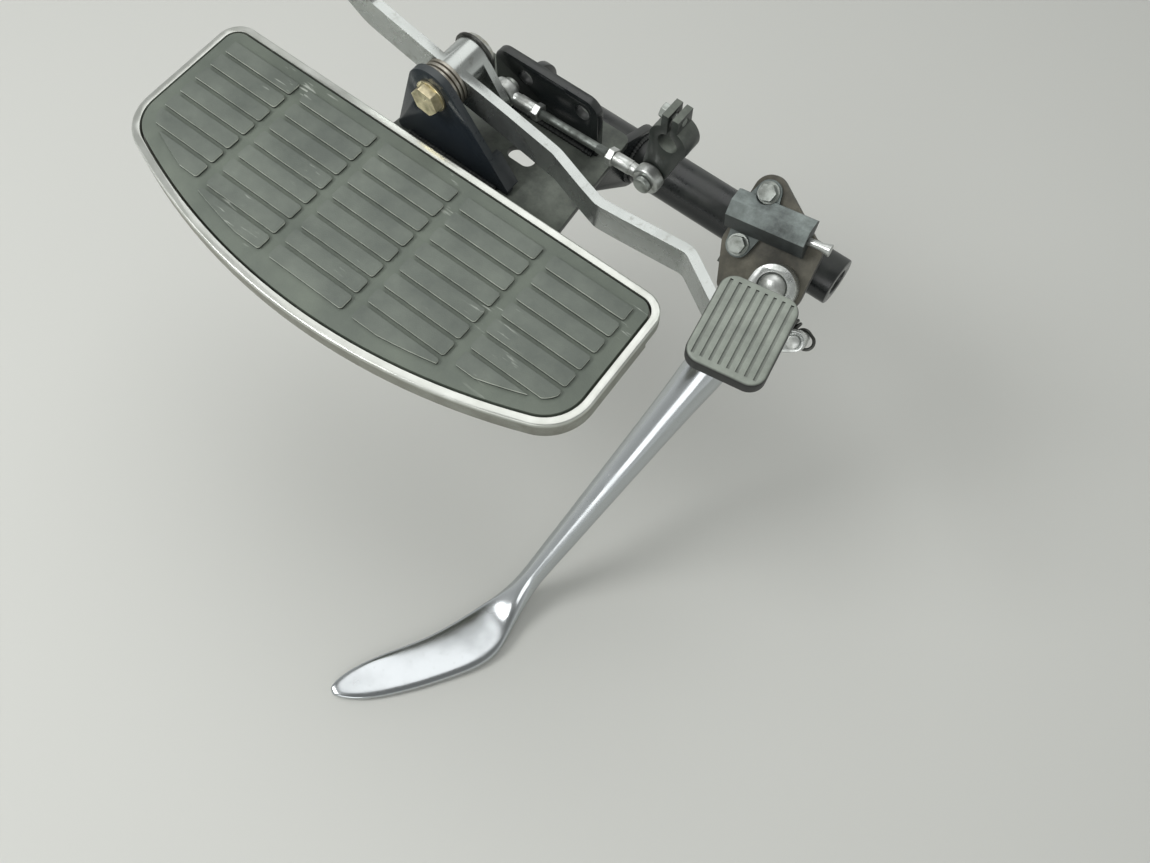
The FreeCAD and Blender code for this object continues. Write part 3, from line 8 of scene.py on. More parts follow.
# %% Load the solids
from math import cos, pi, radians, sin, sqrt

import bpy
from mathutils import Matrix, Vector, noise


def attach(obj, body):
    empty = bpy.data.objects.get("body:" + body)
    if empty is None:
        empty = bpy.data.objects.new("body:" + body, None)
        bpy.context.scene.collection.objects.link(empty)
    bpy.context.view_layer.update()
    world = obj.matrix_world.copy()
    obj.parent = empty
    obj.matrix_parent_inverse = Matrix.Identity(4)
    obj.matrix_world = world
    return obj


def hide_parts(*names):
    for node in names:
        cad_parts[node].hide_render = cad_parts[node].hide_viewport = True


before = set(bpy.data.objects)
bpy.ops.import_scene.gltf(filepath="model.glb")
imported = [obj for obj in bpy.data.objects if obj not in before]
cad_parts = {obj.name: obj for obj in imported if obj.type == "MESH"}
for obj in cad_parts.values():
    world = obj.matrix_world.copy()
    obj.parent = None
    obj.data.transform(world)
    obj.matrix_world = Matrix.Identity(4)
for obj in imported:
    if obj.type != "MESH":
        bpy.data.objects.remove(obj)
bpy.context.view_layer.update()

# %% [markdown]
# The camera comes first. The five groups of bars on the mat have a known spacing, so their
# places in the photograph gave the point it was taken from, the way it looked and the angle
# it took in. It looks steeply down from behind and outside. A matrix made of the three
# directions right, up and backwards holds that exactly, where three angles would need care
# with their order.

# %% Camera
CAMERA_POINT = Vector((-0.28187, 0.34897, 0.50764))
CAMERA_TURN = 0.917214
CAMERA_DOWN = 1.162291
CAMERA_ROLL = 0.01015
PHOTO_WIDTH = 1150
FOCAL_PIXELS = 1050.055
SENSOR_MM = 36.0

forward = Vector((
    cos(CAMERA_DOWN) * cos(CAMERA_TURN),
    -cos(CAMERA_DOWN) * sin(CAMERA_TURN),
    -sin(CAMERA_DOWN),
))
level_right = forward.cross(Vector((0, 0, 1))).normalized()
level_up = level_right.cross(forward)
right = cos(CAMERA_ROLL) * level_right + sin(CAMERA_ROLL) * level_up
up = cos(CAMERA_ROLL) * level_up - sin(CAMERA_ROLL) * level_right

camera_data = bpy.data.cameras.new("camera")
camera_data.sensor_width = SENSOR_MM
camera_data.lens = FOCAL_PIXELS / PHOTO_WIDTH * SENSOR_MM
camera = bpy.data.objects.new("camera", camera_data)
bpy.context.scene.collection.objects.link(camera)
turn = Matrix((right, up, -forward)).transposed().to_4x4()
camera.matrix_world = Matrix.Translation(CAMERA_POINT) @ turn
bpy.context.scene.camera = camera
bpy.context.scene.view_settings.view_transform = "Standard"
print("lens", round(camera_data.lens, 2))

# %% [markdown]
# Every finish is a tree of nodes, and all of them need the same few helpers. One turns a
# colour written as sRGB hex into the linear values that the renderer counts in. One adds any
# node with its settings and its links, so that each material below reads as a list of what is
# laid over what. Patterns are sized by a real length: an object's coordinates are in metres,
# so a pattern whose patches are so many millimetres wide has a scale of 1000 divided by that.

# %% Helpers for materials
def linear(code):
    """The linear colour of an sRGB hex code."""
    values = []
    for start in (1, 3, 5):
        value = int(code[start:start + 2], 16) / 255
        if value <= 0.04045:
            values.append(value / 12.92)
        else:
            values.append(((value + 0.055) / 1.055) ** 2.4)
    return (*values, 1.0)


def every(millimetres):
    """The scale of a pattern whose patches are this wide."""
    return 1000.0 / millimetres


def add(tree, kind, inputs=None, **settings):
    """Adds a node to a tree: its settings, and its sockets as values or links."""
    made = tree.nodes.new(kind)
    for name, value in settings.items():
        setattr(made, name, value)
    for name, value in (inputs or {}).items():
        if isinstance(value, bpy.types.NodeSocket):
            tree.links.new(value, made.inputs[name])
        else:
            made.inputs[name].default_value = value
    return made


def new_material(name):
    """A material with an empty tree, and the outputs of its coordinates."""
    material = bpy.data.materials.new(name)
    material.use_nodes = True
    tree = material.node_tree
    tree.nodes.clear()
    return material, tree, add(tree, "ShaderNodeTexCoord").outputs


# Sockets of the Mix node when it mixes colours.
MIX_FACTOR, MIX_A, MIX_B, MIX_RESULT = 0, 6, 7, 2

# %% [markdown]
# Chromium plate is a thin mirror over polished steel. The plating follows every ripple that
# the polishing wheel left, so a slow, shallow bump bends the reflections. Handling leaves
# faint smears, which only change the roughness, and drying rain leaves small dull spots.

# %% Chrome
def make_chrome():
    material, tree, coordinates = new_material("chrome_plate")
    place = coordinates["Object"]
    ripple = add(tree, "ShaderNodeTexNoise", {"Vector": place, "Scale": every(20), "Detail": 1.0})
    bump = add(tree, "ShaderNodeBump", {
        "Height": ripple.outputs["Fac"], "Strength": 0.3, "Distance": 0.0003,
    })
    smear = add(tree, "ShaderNodeTexNoise", {"Vector": place, "Scale": every(26), "Detail": 5.0})
    smear_rough = add(tree, "ShaderNodeMapRange", {
        "Value": smear.outputs["Fac"], "From Min": 0.45, "From Max": 0.75,
        "To Min": 0.15, "To Max": 0.3,
    })
    spots = add(tree, "ShaderNodeTexVoronoi", {"Vector": place, "Scale": every(4)}, feature="F1")
    spot_mask = add(tree, "ShaderNodeMapRange", {
        "Value": spots.outputs["Distance"], "From Min": 0.06, "From Max": 0.12,
        "To Min": 0.35, "To Max": 0.0,
    })
    tone = add(tree, "ShaderNodeMix", {
        MIX_FACTOR: spot_mask.outputs["Result"], MIX_A: linear("#bcc0c2"), MIX_B: linear("#8a8a84"),
    }, data_type="RGBA")
    surface = add(tree, "ShaderNodeBsdfPrincipled", {
        "Base Color": tone.outputs[MIX_RESULT], "Metallic": 1.0,
        "Roughness": smear_rough.outputs["Result"], "Normal": bump.outputs["Normal"],
    })
    add(tree, "ShaderNodeOutputMaterial", {"Surface": surface.outputs["BSDF"]})
    return material


chrome_plate = make_chrome()

# %% [markdown]
# The gear lever is plated too, but boots have rubbed it for years. Its plating is duller, and
# fine scratches run along the bar. A noise squeezed thin across the bar and drawn out along
# it gives such scratches; they are drawn about a millimetre wide, coarser than real ones, so
# that they show. Grey brown stains sit where water stood.

# %% Worn plating of the lever
def make_worn_plate():
    material, tree, coordinates = new_material("worn_nickel_plate")
    place = coordinates["Object"]
    along = add(tree, "ShaderNodeMapping", {
        "Vector": place, "Scale": (every(20), every(1.3), every(6)),
    })
    lines = add(tree, "ShaderNodeTexNoise", {
        "Vector": along.outputs["Vector"], "Scale": 1.0, "Detail": 4.0,
    })
    bump = add(tree, "ShaderNodeBump", {
        "Height": lines.outputs["Fac"], "Strength": 0.15, "Distance": 0.0001,
    })
    cloud = add(tree, "ShaderNodeTexNoise", {"Vector": place, "Scale": every(22), "Detail": 6.0})
    rough = add(tree, "ShaderNodeMapRange", {
        "Value": cloud.outputs["Fac"], "From Min": 0.4, "From Max": 0.7,
        "To Min": 0.22, "To Max": 0.36,
    })
    stain = add(tree, "ShaderNodeTexNoise", {
        "Vector": place, "Scale": every(8), "Detail": 8.0, "Roughness": 0.7,
    })
    stain_mask = add(tree, "ShaderNodeMapRange", {
        "Value": stain.outputs["Fac"], "From Min": 0.56, "From Max": 0.7,
        "To Min": 0.0, "To Max": 0.6,
    })
    tone = add(tree, "ShaderNodeMix", {
        MIX_FACTOR: stain_mask.outputs["Result"], MIX_A: linear("#adb1ae"),
        MIX_B: linear("#7c7c74"),
    }, data_type="RGBA")
    surface = add(tree, "ShaderNodeBsdfPrincipled", {
        "Base Color": tone.outputs[MIX_RESULT], "Metallic": 0.88,
        "Roughness": rough.outputs["Result"], "Normal": bump.outputs["Normal"],
    })
    add(tree, "ShaderNodeOutputMaterial", {"Surface": surface.outputs["BSDF"]})
    return material


worn_plate = make_worn_plate()

# %% [markdown]
# The pan of the footboard is cast aluminium. Only the top of its rim was linished bright; its
# sides and underside keep the sandy skin of the mould, with grey brown road dirt in it. The
# height of a point tells the two apart, because the rim's top is the highest part of the pan.

# %% Cast aluminium
RIM_TOP = -0.0025
POLISH_STARTS = RIM_TOP - 0.0035
POLISH_FULL = RIM_TOP - 0.0012
# The share of the sandy relief that the bright rim keeps.
SAND_LEFT = 0.15


def make_cast_aluminium():
    material, tree, coordinates = new_material("cast_aluminium")
    place = coordinates["Object"]
    height = add(tree, "ShaderNodeSeparateXYZ", {"Vector": place}).outputs["Z"]
    polished = add(tree, "ShaderNodeMapRange", {
        "Value": height, "From Min": POLISH_STARTS, "From Max": POLISH_FULL,
        "To Min": 0.0, "To Max": 1.0,
    }).outputs["Result"]
    sand = add(tree, "ShaderNodeTexNoise", {"Vector": place, "Scale": every(0.7), "Detail": 3.0})
    dirt = add(tree, "ShaderNodeTexNoise", {
        "Vector": place, "Scale": every(14), "Detail": 8.0, "Roughness": 0.65,
    })
    dirt_mask = add(tree, "ShaderNodeMapRange", {
        "Value": dirt.outputs["Fac"], "From Min": 0.35, "From Max": 0.72,
        "To Min": 0.05, "To Max": 0.7,
    })
    raw = add(tree, "ShaderNodeMix", {
        MIX_FACTOR: dirt_mask.outputs["Result"], MIX_A: linear("#a1a39b"), MIX_B: linear("#7a776c"),
    }, data_type="RGBA")
    rub = add(tree, "ShaderNodeTexNoise", {"Vector": place, "Scale": every(11), "Detail": 6.0})
    bright = add(tree, "ShaderNodeMix", {
        MIX_FACTOR: rub.outputs["Fac"], MIX_A: linear("#dcded9"), MIX_B: linear("#aeb1a9"),
    }, data_type="RGBA")
    tone = add(tree, "ShaderNodeMix", {
        MIX_FACTOR: polished, MIX_A: raw.outputs[MIX_RESULT], MIX_B: bright.outputs[MIX_RESULT],
    }, data_type="RGBA")
    rough = add(tree, "ShaderNodeMapRange", {
        "Value": polished, "From Min": 0.0, "From Max": 1.0, "To Min": 0.58, "To Max": 0.34,
    })
    relief = add(tree, "ShaderNodeMath", {0: 1 + SAND_LEFT, 1: polished}, operation="SUBTRACT")
    relief_sand = add(tree, "ShaderNodeMath", {
        0: sand.outputs["Fac"], 1: relief.outputs["Value"],
    }, operation="MULTIPLY")
    bump = add(tree, "ShaderNodeBump", {
        "Height": relief_sand.outputs["Value"], "Strength": 0.5, "Distance": 0.0003,
    })
    surface = add(tree, "ShaderNodeBsdfPrincipled", {
        "Base Color": tone.outputs[MIX_RESULT], "Metallic": 0.9,
        "Roughness": rough.outputs["Result"], "Normal": bump.outputs["Normal"],
    })
    add(tree, "ShaderNodeOutputMaterial", {"Surface": surface.outputs["BSDF"]})
    return material


cast_aluminium = make_cast_aluminium()

# %% [markdown]
# Moulded rubber that is walked on turns from black to a dull grey, because dust is ground into
# it. The tops of the bars and the sheet between them have gone almost equally grey. At the foot
# of a bar a nearly black band is painted shade, and higher up, where its flank rounds over to
# its top, a thin pale line is a painted highlight. Both follow the height of a point. Soles have
# also left a few whitish scuffs, drawn with a noise that is stretched along the way that a sole
# slides.

# %% Rubber of the mat
BAR_FOOT = -0.0022
# Heights between which each tone fades in or out.
BARS_FADE_IN = (BAR_FOOT + 0.0002, -0.0002)
# A thin pale line of painted highlight high on each bar's flank fades in and out between these
# heights.
EDGE_HIGHLIGHT_FADES_IN = (-0.0013, -0.0008)
EDGE_HIGHLIGHT_FADES_OUT = (-0.00016, -0.00002)
# A near black band of painted shade at the foot of each bar fades in and out between these heights.
FOOT_SHADE_FADES_IN = (BAR_FOOT + 0.00002, BAR_FOOT + 0.00015)
FOOT_SHADE_FADES_OUT = (-0.0014, -0.0009)


def make_mat_rubber():
    material, tree, coordinates = new_material("mat_rubber")
    place = coordinates["Object"]
    height = add(tree, "ShaderNodeSeparateXYZ", {"Vector": place}).outputs["Z"]
    fades = []
    for (low, high), start, end in (
        (BARS_FADE_IN, 0.0, 1.0), (EDGE_HIGHLIGHT_FADES_IN, 0.0, 1.0), (EDGE_HIGHLIGHT_FADES_OUT, 1.0, 0.0),
        (FOOT_SHADE_FADES_IN, 0.0, 1.0), (FOOT_SHADE_FADES_OUT, 1.0, 0.0),
    ):
        fades.append(add(tree, "ShaderNodeMapRange", {
            "Value": height, "From Min": low, "From Max": high, "To Min": start, "To Max": end,
        }).outputs["Result"])
    top, highlight_in, highlight_out, shade_in, shade_out = fades
    # Painted highlight: a thin pale line where each bar's flank rounds over to its top.
    flank_highlight = add(tree, "ShaderNodeMath", {0: highlight_in, 1: highlight_out}, operation="MULTIPLY")
    # Painted shade: a near black band at the foot of every bar.
    foot = add(tree, "ShaderNodeMath", {0: shade_in, 1: shade_out}, operation="MULTIPLY")
    cloud = add(tree, "ShaderNodeTexNoise", {
        "Vector": place, "Scale": every(35), "Detail": 7.0, "Roughness": 0.62,
    })
    cloud_mask = add(tree, "ShaderNodeMapRange", {
        "Value": cloud.outputs["Fac"], "From Min": 0.35, "From Max": 0.68,
        "To Min": 0.0, "To Max": 1.0,
    })
    sheet = add(tree, "ShaderNodeMix", {
        MIX_FACTOR: cloud_mask.outputs["Result"], MIX_A: linear("#5d655c"),
        MIX_B: linear("#70786d"),
    }, data_type="RGBA")
    bars = add(tree, "ShaderNodeMix", {
        MIX_FACTOR: cloud_mask.outputs["Result"], MIX_A: linear("#5b625b"),
        MIX_B: linear("#747b72"),
    }, data_type="RGBA")
    even = add(tree, "ShaderNodeMix", {
        MIX_FACTOR: top, MIX_A: sheet.outputs[MIX_RESULT], MIX_B: bars.outputs[MIX_RESULT],
    }, data_type="RGBA")
    # The near black #242824 at the foot of each bar is painted shade.
    body = add(tree, "ShaderNodeMix", {
        MIX_FACTOR: foot.outputs["Value"], MIX_A: even.outputs[MIX_RESULT],
        MIX_B: linear("#242824"),
    }, data_type="RGBA")
    patchy = add(tree, "ShaderNodeTexNoise", {"Vector": place, "Scale": every(9), "Detail": 4.0})
    patch_mask = add(tree, "ShaderNodeMapRange", {
        "Value": patchy.outputs["Fac"], "From Min": 0.35, "From Max": 0.65,
        "To Min": 0.5, "To Max": 1.0,
    })
    # The painted highlight is made stronger and weaker in patches.
    dust_and_sheen = add(tree, "ShaderNodeMath", {
        0: flank_highlight.outputs["Value"], 1: patch_mask.outputs["Result"],
    }, operation="MULTIPLY")
    # d3d8cc is the colour of the painted highlight along the edge of each bar.
    with_dust_and_sheen = add(tree, "ShaderNodeMix", {
        MIX_FACTOR: dust_and_sheen.outputs["Value"], MIX_A: body.outputs[MIX_RESULT],
        MIX_B: linear("#d3d8cc"),
    }, data_type="RGBA")
    slide = add(tree, "ShaderNodeMapping", {
        "Vector": place, "Scale": (every(16), every(2.2), every(6)),
        "Rotation": (0, 0, radians(-24)),
    })
    streak = add(tree, "ShaderNodeTexNoise", {
        "Vector": slide.outputs["Vector"], "Scale": 1.0, "Detail": 3.0,
    })
    streak_mask = add(tree, "ShaderNodeMapRange", {
        "Value": streak.outputs["Fac"], "From Min": 0.62, "From Max": 0.7,
        "To Min": 0.0, "To Max": 1.0,
    })
    region = add(tree, "ShaderNodeTexNoise", {"Vector": place, "Scale": every(60), "Detail": 2.0})
    region_mask = add(tree, "ShaderNodeMapRange", {
        "Value": region.outputs["Fac"], "From Min": 0.56, "From Max": 0.66,
        "To Min": 0.0, "To Max": 0.8,
    })
    scuff = add(tree, "ShaderNodeMath", {
        0: streak_mask.outputs["Result"], 1: region_mask.outputs["Result"],
    }, operation="MULTIPLY")
    tone = add(tree, "ShaderNodeMix", {
        MIX_FACTOR: scuff.outputs["Value"], MIX_A: with_dust_and_sheen.outputs[MIX_RESULT],
        MIX_B: linear("#bcc1b8"),
    }, data_type="RGBA")
    grain = add(tree, "ShaderNodeTexNoise", {"Vector": place, "Scale": every(0.9), "Detail": 3.0})
    bump = add(tree, "ShaderNodeBump", {
        "Height": grain.outputs["Fac"], "Strength": 0.4, "Distance": 0.0003,
    })
    rough = add(tree, "ShaderNodeMapRange", {
        "Value": cloud.outputs["Fac"], "From Min": 0.3, "From Max": 0.7,
        "To Min": 0.5, "To Max": 0.72,
    })
    surface = add(tree, "ShaderNodeBsdfPrincipled", {
        "Base Color": tone.outputs[MIX_RESULT], "Roughness": rough.outputs["Result"],
        "IOR": 1.52, "Normal": bump.outputs["Normal"],
    })
    add(tree, "ShaderNodeOutputMaterial", {"Surface": surface.outputs["BSDF"]})
    return material


mat_rubber = make_mat_rubber()

# %% [markdown]
# The heel pad and the sleeve of the toe peg are rubber as well, but only the face that the
# boot treads on is worn grey. Their sides stay black, partly as unworn rubber and partly as
# painted shade. The normal in object coordinates tells the two apart and stays with the piece
# when the piece turns. A second tone, lower down, darkens the grooves as painted shade. The
# rubber stop below the board is the same rubber, hardly worn.

# %% Rubber worn on one face
def make_worn_rubber(name, black, worn, groove_shade, groove_z, face_z):
    material, tree, coordinates = new_material(name)
    place = coordinates["Object"]
    height = add(tree, "ShaderNodeSeparateXYZ", {"Vector": place}).outputs["Z"]
    facing = add(tree, "ShaderNodeSeparateXYZ", {"Vector": coordinates["Normal"]}).outputs["Z"]
    faces_up = add(tree, "ShaderNodeMapRange", {
        "Value": facing, "From Min": 0.45, "From Max": 0.9, "To Min": 0.0, "To Max": 1.0,
    })
    raised = add(tree, "ShaderNodeMapRange", {
        "Value": height, "From Min": groove_z, "From Max": face_z, "To Min": 0.0, "To Max": 1.0,
    })
    cloud = add(tree, "ShaderNodeTexNoise", {
        "Vector": place, "Scale": every(12), "Detail": 7.0, "Roughness": 0.65,
    })
    rubbed = add(tree, "ShaderNodeMapRange", {
        "Value": cloud.outputs["Fac"], "From Min": 0.3, "From Max": 0.62,
        "To Min": 0.7, "To Max": 1.0,
    })
    # The darker groove tone is painted shade in the grooves.
    grey = add(tree, "ShaderNodeMix", {
        MIX_FACTOR: raised.outputs["Result"], MIX_A: linear(groove_shade), MIX_B: linear(worn),
    }, data_type="RGBA")
    share = add(tree, "ShaderNodeMath", {
        0: faces_up.outputs["Result"], 1: rubbed.outputs["Result"],
    }, operation="MULTIPLY")
    # The black of the sides is partly unworn rubber and partly painted shade.
    tone = add(tree, "ShaderNodeMix", {
        MIX_FACTOR: share.outputs["Value"], MIX_A: linear(black), MIX_B: grey.outputs[MIX_RESULT],
    }, data_type="RGBA")
    grain = add(tree, "ShaderNodeTexNoise", {"Vector": place, "Scale": every(0.8), "Detail": 3.0})
    bump = add(tree, "ShaderNodeBump", {
        "Height": grain.outputs["Fac"], "Strength": 0.3, "Distance": 0.0002,
    })
    surface = add(tree, "ShaderNodeBsdfPrincipled", {
        "Base Color": tone.outputs[MIX_RESULT], "Roughness": 0.52, "IOR": 1.52,
        "Normal": bump.outputs["Normal"],
    })
    add(tree, "ShaderNodeOutputMaterial", {"Surface": surface.outputs["BSDF"]})
    return material


# Arguments: name, black of the sides (partly painted shade), worn face, groove (painted shade),
# height of the groove and of the face.
pad_rubber = make_worn_rubber("pad_rubber", "#171917", "#949b91", "#868c83", 0.0391, 0.0398)
peg_rubber = make_worn_rubber("peg_rubber", "#1b1d1c", "#5e635d", "#333633", 0.0895, 0.0902)
stop_rubber = make_worn_rubber("stop_rubber", "#1b1d1c", "#4a4e4a", "#4a4e4a", -0.03, -0.02)

# %% [markdown]
# The bracket, the rail and the plates are steel with black paint, which is smooth and shines
# like a hard plastic. Road dust lies on what faces up and leaves the flanks black, and where
# the paint is thin a little brown rust comes through. The lug of the lever is cleaner than the
# rest, and its lighter, bluer tone is a painted reflection of the sky; the bracket behind the
# board is dustier, and the flange that the stand turns against is rubbed and browner. The same
# tree gives the moulded nylon of the stand's switch, which is greyer, duller and never rusts;
# the pale tone on its upper faces is partly dust and partly painted sheen, and its near black
# sides are partly painted shade.

# %% Black paint and moulded nylon
def make_paint(name, colour, dust_and_sheen, dust_and_sheen_share, rust_amount, gloss):
    material, tree, coordinates = new_material(name)
    place = coordinates["Object"]
    facing = add(tree, "ShaderNodeSeparateXYZ", {"Vector": coordinates["Normal"]}).outputs["Z"]
    upward = add(tree, "ShaderNodeMapRange", {
        "Value": facing, "From Min": 0.25, "From Max": 0.85, "To Min": 0.12, "To Max": 1.0,
    }).outputs["Result"]
    cloud = add(tree, "ShaderNodeTexNoise", {
        "Vector": place, "Scale": every(24), "Detail": 9.0, "Roughness": 0.68,
    })
    cloud_mask = add(tree, "ShaderNodeMapRange", {
        "Value": cloud.outputs["Fac"], "From Min": 0.32, "From Max": 0.64,
        "To Min": 0.15 * dust_and_sheen_share, "To Max": dust_and_sheen_share,
    })
    lying = add(tree, "ShaderNodeMath", {
        0: cloud_mask.outputs["Result"], 1: upward,
    }, operation="MULTIPLY")
    with_dust_and_sheen = add(tree, "ShaderNodeMix", {
        MIX_FACTOR: lying.outputs["Value"], MIX_A: linear(colour), MIX_B: linear(dust_and_sheen),
    }, data_type="RGBA")
    rust = add(tree, "ShaderNodeTexNoise", {
        "Vector": place, "Scale": every(6), "Detail": 10.0, "Roughness": 0.75,
    })
    rust_mask = add(tree, "ShaderNodeMapRange", {
        "Value": rust.outputs["Fac"], "From Min": 0.62, "From Max": 0.7,
        "To Min": 0.0, "To Max": rust_amount,
    })
    tone = add(tree, "ShaderNodeMix", {
        MIX_FACTOR: rust_mask.outputs["Result"], MIX_A: with_dust_and_sheen.outputs[MIX_RESULT],
        MIX_B: linear("#5f4632"),
    }, data_type="RGBA")
    rough = add(tree, "ShaderNodeMapRange", {
        "Value": lying.outputs["Value"], "From Min": 0.0, "From Max": 0.6,
        "To Min": gloss, "To Max": 0.78,
    })
    peel = add(tree, "ShaderNodeTexNoise", {"Vector": place, "Scale": every(2.4), "Detail": 2.0})
    bump = add(tree, "ShaderNodeBump", {
        "Height": peel.outputs["Fac"], "Strength": 0.2, "Distance": 0.0002,
    })
    surface = add(tree, "ShaderNodeBsdfPrincipled", {
        "Base Color": tone.outputs[MIX_RESULT], "Roughness": rough.outputs["Result"],
        "IOR": 1.5, "Normal": bump.outputs["Normal"],
    })
    add(tree, "ShaderNodeOutputMaterial", {"Surface": surface.outputs["BSDF"]})
    return material


# Arguments: name, paint, dust (on the switch partly painted sheen), share of it, share of rust,
# roughness without dust.
black_paint = make_paint("black_paint", "#14181a", "#62655f", 0.3, 0.25, 0.2)
# The lighter, bluer tone of this paint is a painted reflection of the sky.
lug_paint = make_paint("glossy_black_paint", "#22282e", "#646967", 0.35, 0.2, 0.18)
dusty_paint = make_paint("dusty_black_paint", "#1f2321", "#7a8077", 0.9, 0.3, 0.3)
rubbed_paint = make_paint("rubbed_black_paint", "#242320", "#7e7b6e", 0.9, 0.4, 0.32)
# On the switch the pale upper faces are partly dust and partly painted sheen, and the near black
# sides are partly painted shade.
switch_nylon = make_paint("switch_nylon", "#181b1b", "#9aa4a1", 1.0, 0.0, 0.42)

# %% [markdown]
# Bolts, washers and the shift rod are zinc plated. Zinc starts as a soft grey metal with a
# slightly crystalline look, and turns matt and cloudy. Some of it was passivated yellow. The
# big bolt of the lever's pivot has both: its outer head is still yellow, its inner end is
# worn to a pale grey, and how far out a point lies tells the two apart. With other tones the
# same tree gives the satin neck of the stand and the oiled steel of its spring.

# %% Zinc plate
YELLOW_FROM = 0.055
YELLOW_FADE = 0.001


def make_zinc(name, light, dark, roughness, outer=None):
    material, tree, coordinates = new_material(name)
    place = coordinates["Object"]
    crystal = add(tree, "ShaderNodeTexVoronoi", {
        "Vector": place, "Scale": every(1.1),
    }, feature="F1")
    cloud = add(tree, "ShaderNodeTexNoise", {
        "Vector": place, "Scale": every(7), "Detail": 7.0, "Roughness": 0.6,
    })
    cloud_mask = add(tree, "ShaderNodeMapRange", {
        "Value": cloud.outputs["Fac"], "From Min": 0.42, "From Max": 0.7,
        "To Min": 0.0, "To Max": 0.85,
    })
    base = linear(light)
    if outer:
        far = add(tree, "ShaderNodeSeparateXYZ", {"Vector": place}).outputs["Y"]
        yellow = add(tree, "ShaderNodeMapRange", {
            "Value": far, "From Min": YELLOW_FROM, "From Max": YELLOW_FROM + YELLOW_FADE,
            "To Min": 0.0, "To Max": 1.0,
        })
        base = add(tree, "ShaderNodeMix", {
            MIX_FACTOR: yellow.outputs["Result"], MIX_A: linear(light), MIX_B: linear(outer),
        }, data_type="RGBA").outputs[MIX_RESULT]
    tone = add(tree, "ShaderNodeMix", {
        MIX_FACTOR: cloud_mask.outputs["Result"], MIX_A: base, MIX_B: linear(dark),
    }, data_type="RGBA")
    rough = add(tree, "ShaderNodeMapRange", {
        "Value": cloud.outputs["Fac"], "From Min": 0.35, "From Max": 0.7,
        "To Min": roughness, "To Max": roughness + 0.25,
    })
    bump = add(tree, "ShaderNodeBump", {
        "Height": crystal.outputs["Distance"], "Strength": 0.12, "Distance": 0.0002,
    })
    surface = add(tree, "ShaderNodeBsdfPrincipled", {
        "Base Color": tone.outputs[MIX_RESULT], "Metallic": 0.92,
        "Roughness": rough.outputs["Result"], "Normal": bump.outputs["Normal"],
    })
    add(tree, "ShaderNodeOutputMaterial", {"Surface": surface.outputs["BSDF"]})
    return material


# Arguments: name, light tone, dark tone, roughness where it is clean, tone of the outer end.
white_zinc = make_zinc("white_zinc", "#c6c9c6", "#8d8f89", 0.3)
grey_zinc = make_zinc("grey_zinc", "#a5aaa5", "#70736d", 0.36)
dull_zinc = make_zinc("dull_zinc", "#7d827e", "#565954", 0.42)
pivot_zinc = make_zinc("pivot_bolt_zinc", "#b9bcb8", "#8b8369", 0.26, "#d2c8a6")
brown_zinc = make_zinc("brown_zinc", "#b0aca2", "#7b7467", 0.36)
satin_plate = make_zinc("satin_plate", "#cdd0ce", "#9a9d98", 0.2)
dark_steel = make_zinc("oiled_spring_steel", "#5a5b58", "#2d2c29", 0.3)

# %% [markdown]
# New pieces share a few steps. Everything is deselected before an operator runs, because an
# operator acts on all that is selected. A finished piece has its modifiers applied and its
# place in its mesh, and then it is told which body it rides on and whose finish it takes.

# %% Helpers for pieces
SAME_POINT = 0.000002
SAME_PLANE = radians(0.8)

# Angles in degrees up to which an edge is shaded smooth.
SMOOTH_ROUND = 40.0
SMOOTH_CHAMFER = 28.0
SMOOTH_THREAD = 30.0
SMOOTH_SKIN = 60.0


def pick(*pieces):
    """Selects only these pieces, the first one active."""
    bpy.ops.object.select_all(action="DESELECT")
    for piece in pieces:
        piece.select_set(True)
    bpy.context.view_layer.objects.active = pieces[0]


def merged_copy(node, name):
    """A copy of a CAD node with its doubles merged and its flat faces made whole."""
    piece = bpy.data.objects.new(name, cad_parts[node].data.copy())
    bpy.context.scene.collection.objects.link(piece)
    pick(piece)
    if piece.data.has_custom_normals:
        bpy.ops.mesh.customdata_custom_splitnormals_clear()
    bpy.ops.object.mode_set(mode="EDIT")
    bpy.ops.mesh.select_all(action="SELECT")
    bpy.ops.mesh.remove_doubles(threshold=SAME_POINT)
    bpy.ops.mesh.dissolve_limited(angle_limit=SAME_PLANE)
    bpy.ops.object.mode_set(mode="OBJECT")
    return piece


def bevel(piece, width, segments, angle=30.0):
    """Breaks the sharp edges of a piece."""
    modifier = piece.modifiers.new("edges", "BEVEL")
    modifier.width = width
    modifier.segments = segments
    modifier.limit_method = "ANGLE"
    modifier.angle_limit = radians(angle)


def face_outwards(piece):
    """Turns all faces of a piece outwards."""
    pick(piece)
    bpy.ops.object.mode_set(mode="EDIT")
    bpy.ops.mesh.select_all(action="SELECT")
    bpy.ops.mesh.normals_make_consistent(inside=False)
    bpy.ops.object.mode_set(mode="OBJECT")


def wind(piece, turns, pitch, steps, merge=0.0):
    """Winds the profile of a piece round the X axis, and joins its turns where they meet."""
    pick(piece)
    modifier = piece.modifiers.new("wind", "SCREW")
    modifier.axis = "X"
    modifier.angle = 2 * pi
    modifier.iterations = turns
    modifier.screw_offset = pitch
    modifier.steps = steps
    modifier.render_steps = steps
    if merge:
        modifier.use_merge_vertices = True
        modifier.merge_threshold = merge
    bpy.ops.object.modifier_apply(modifier="wind")


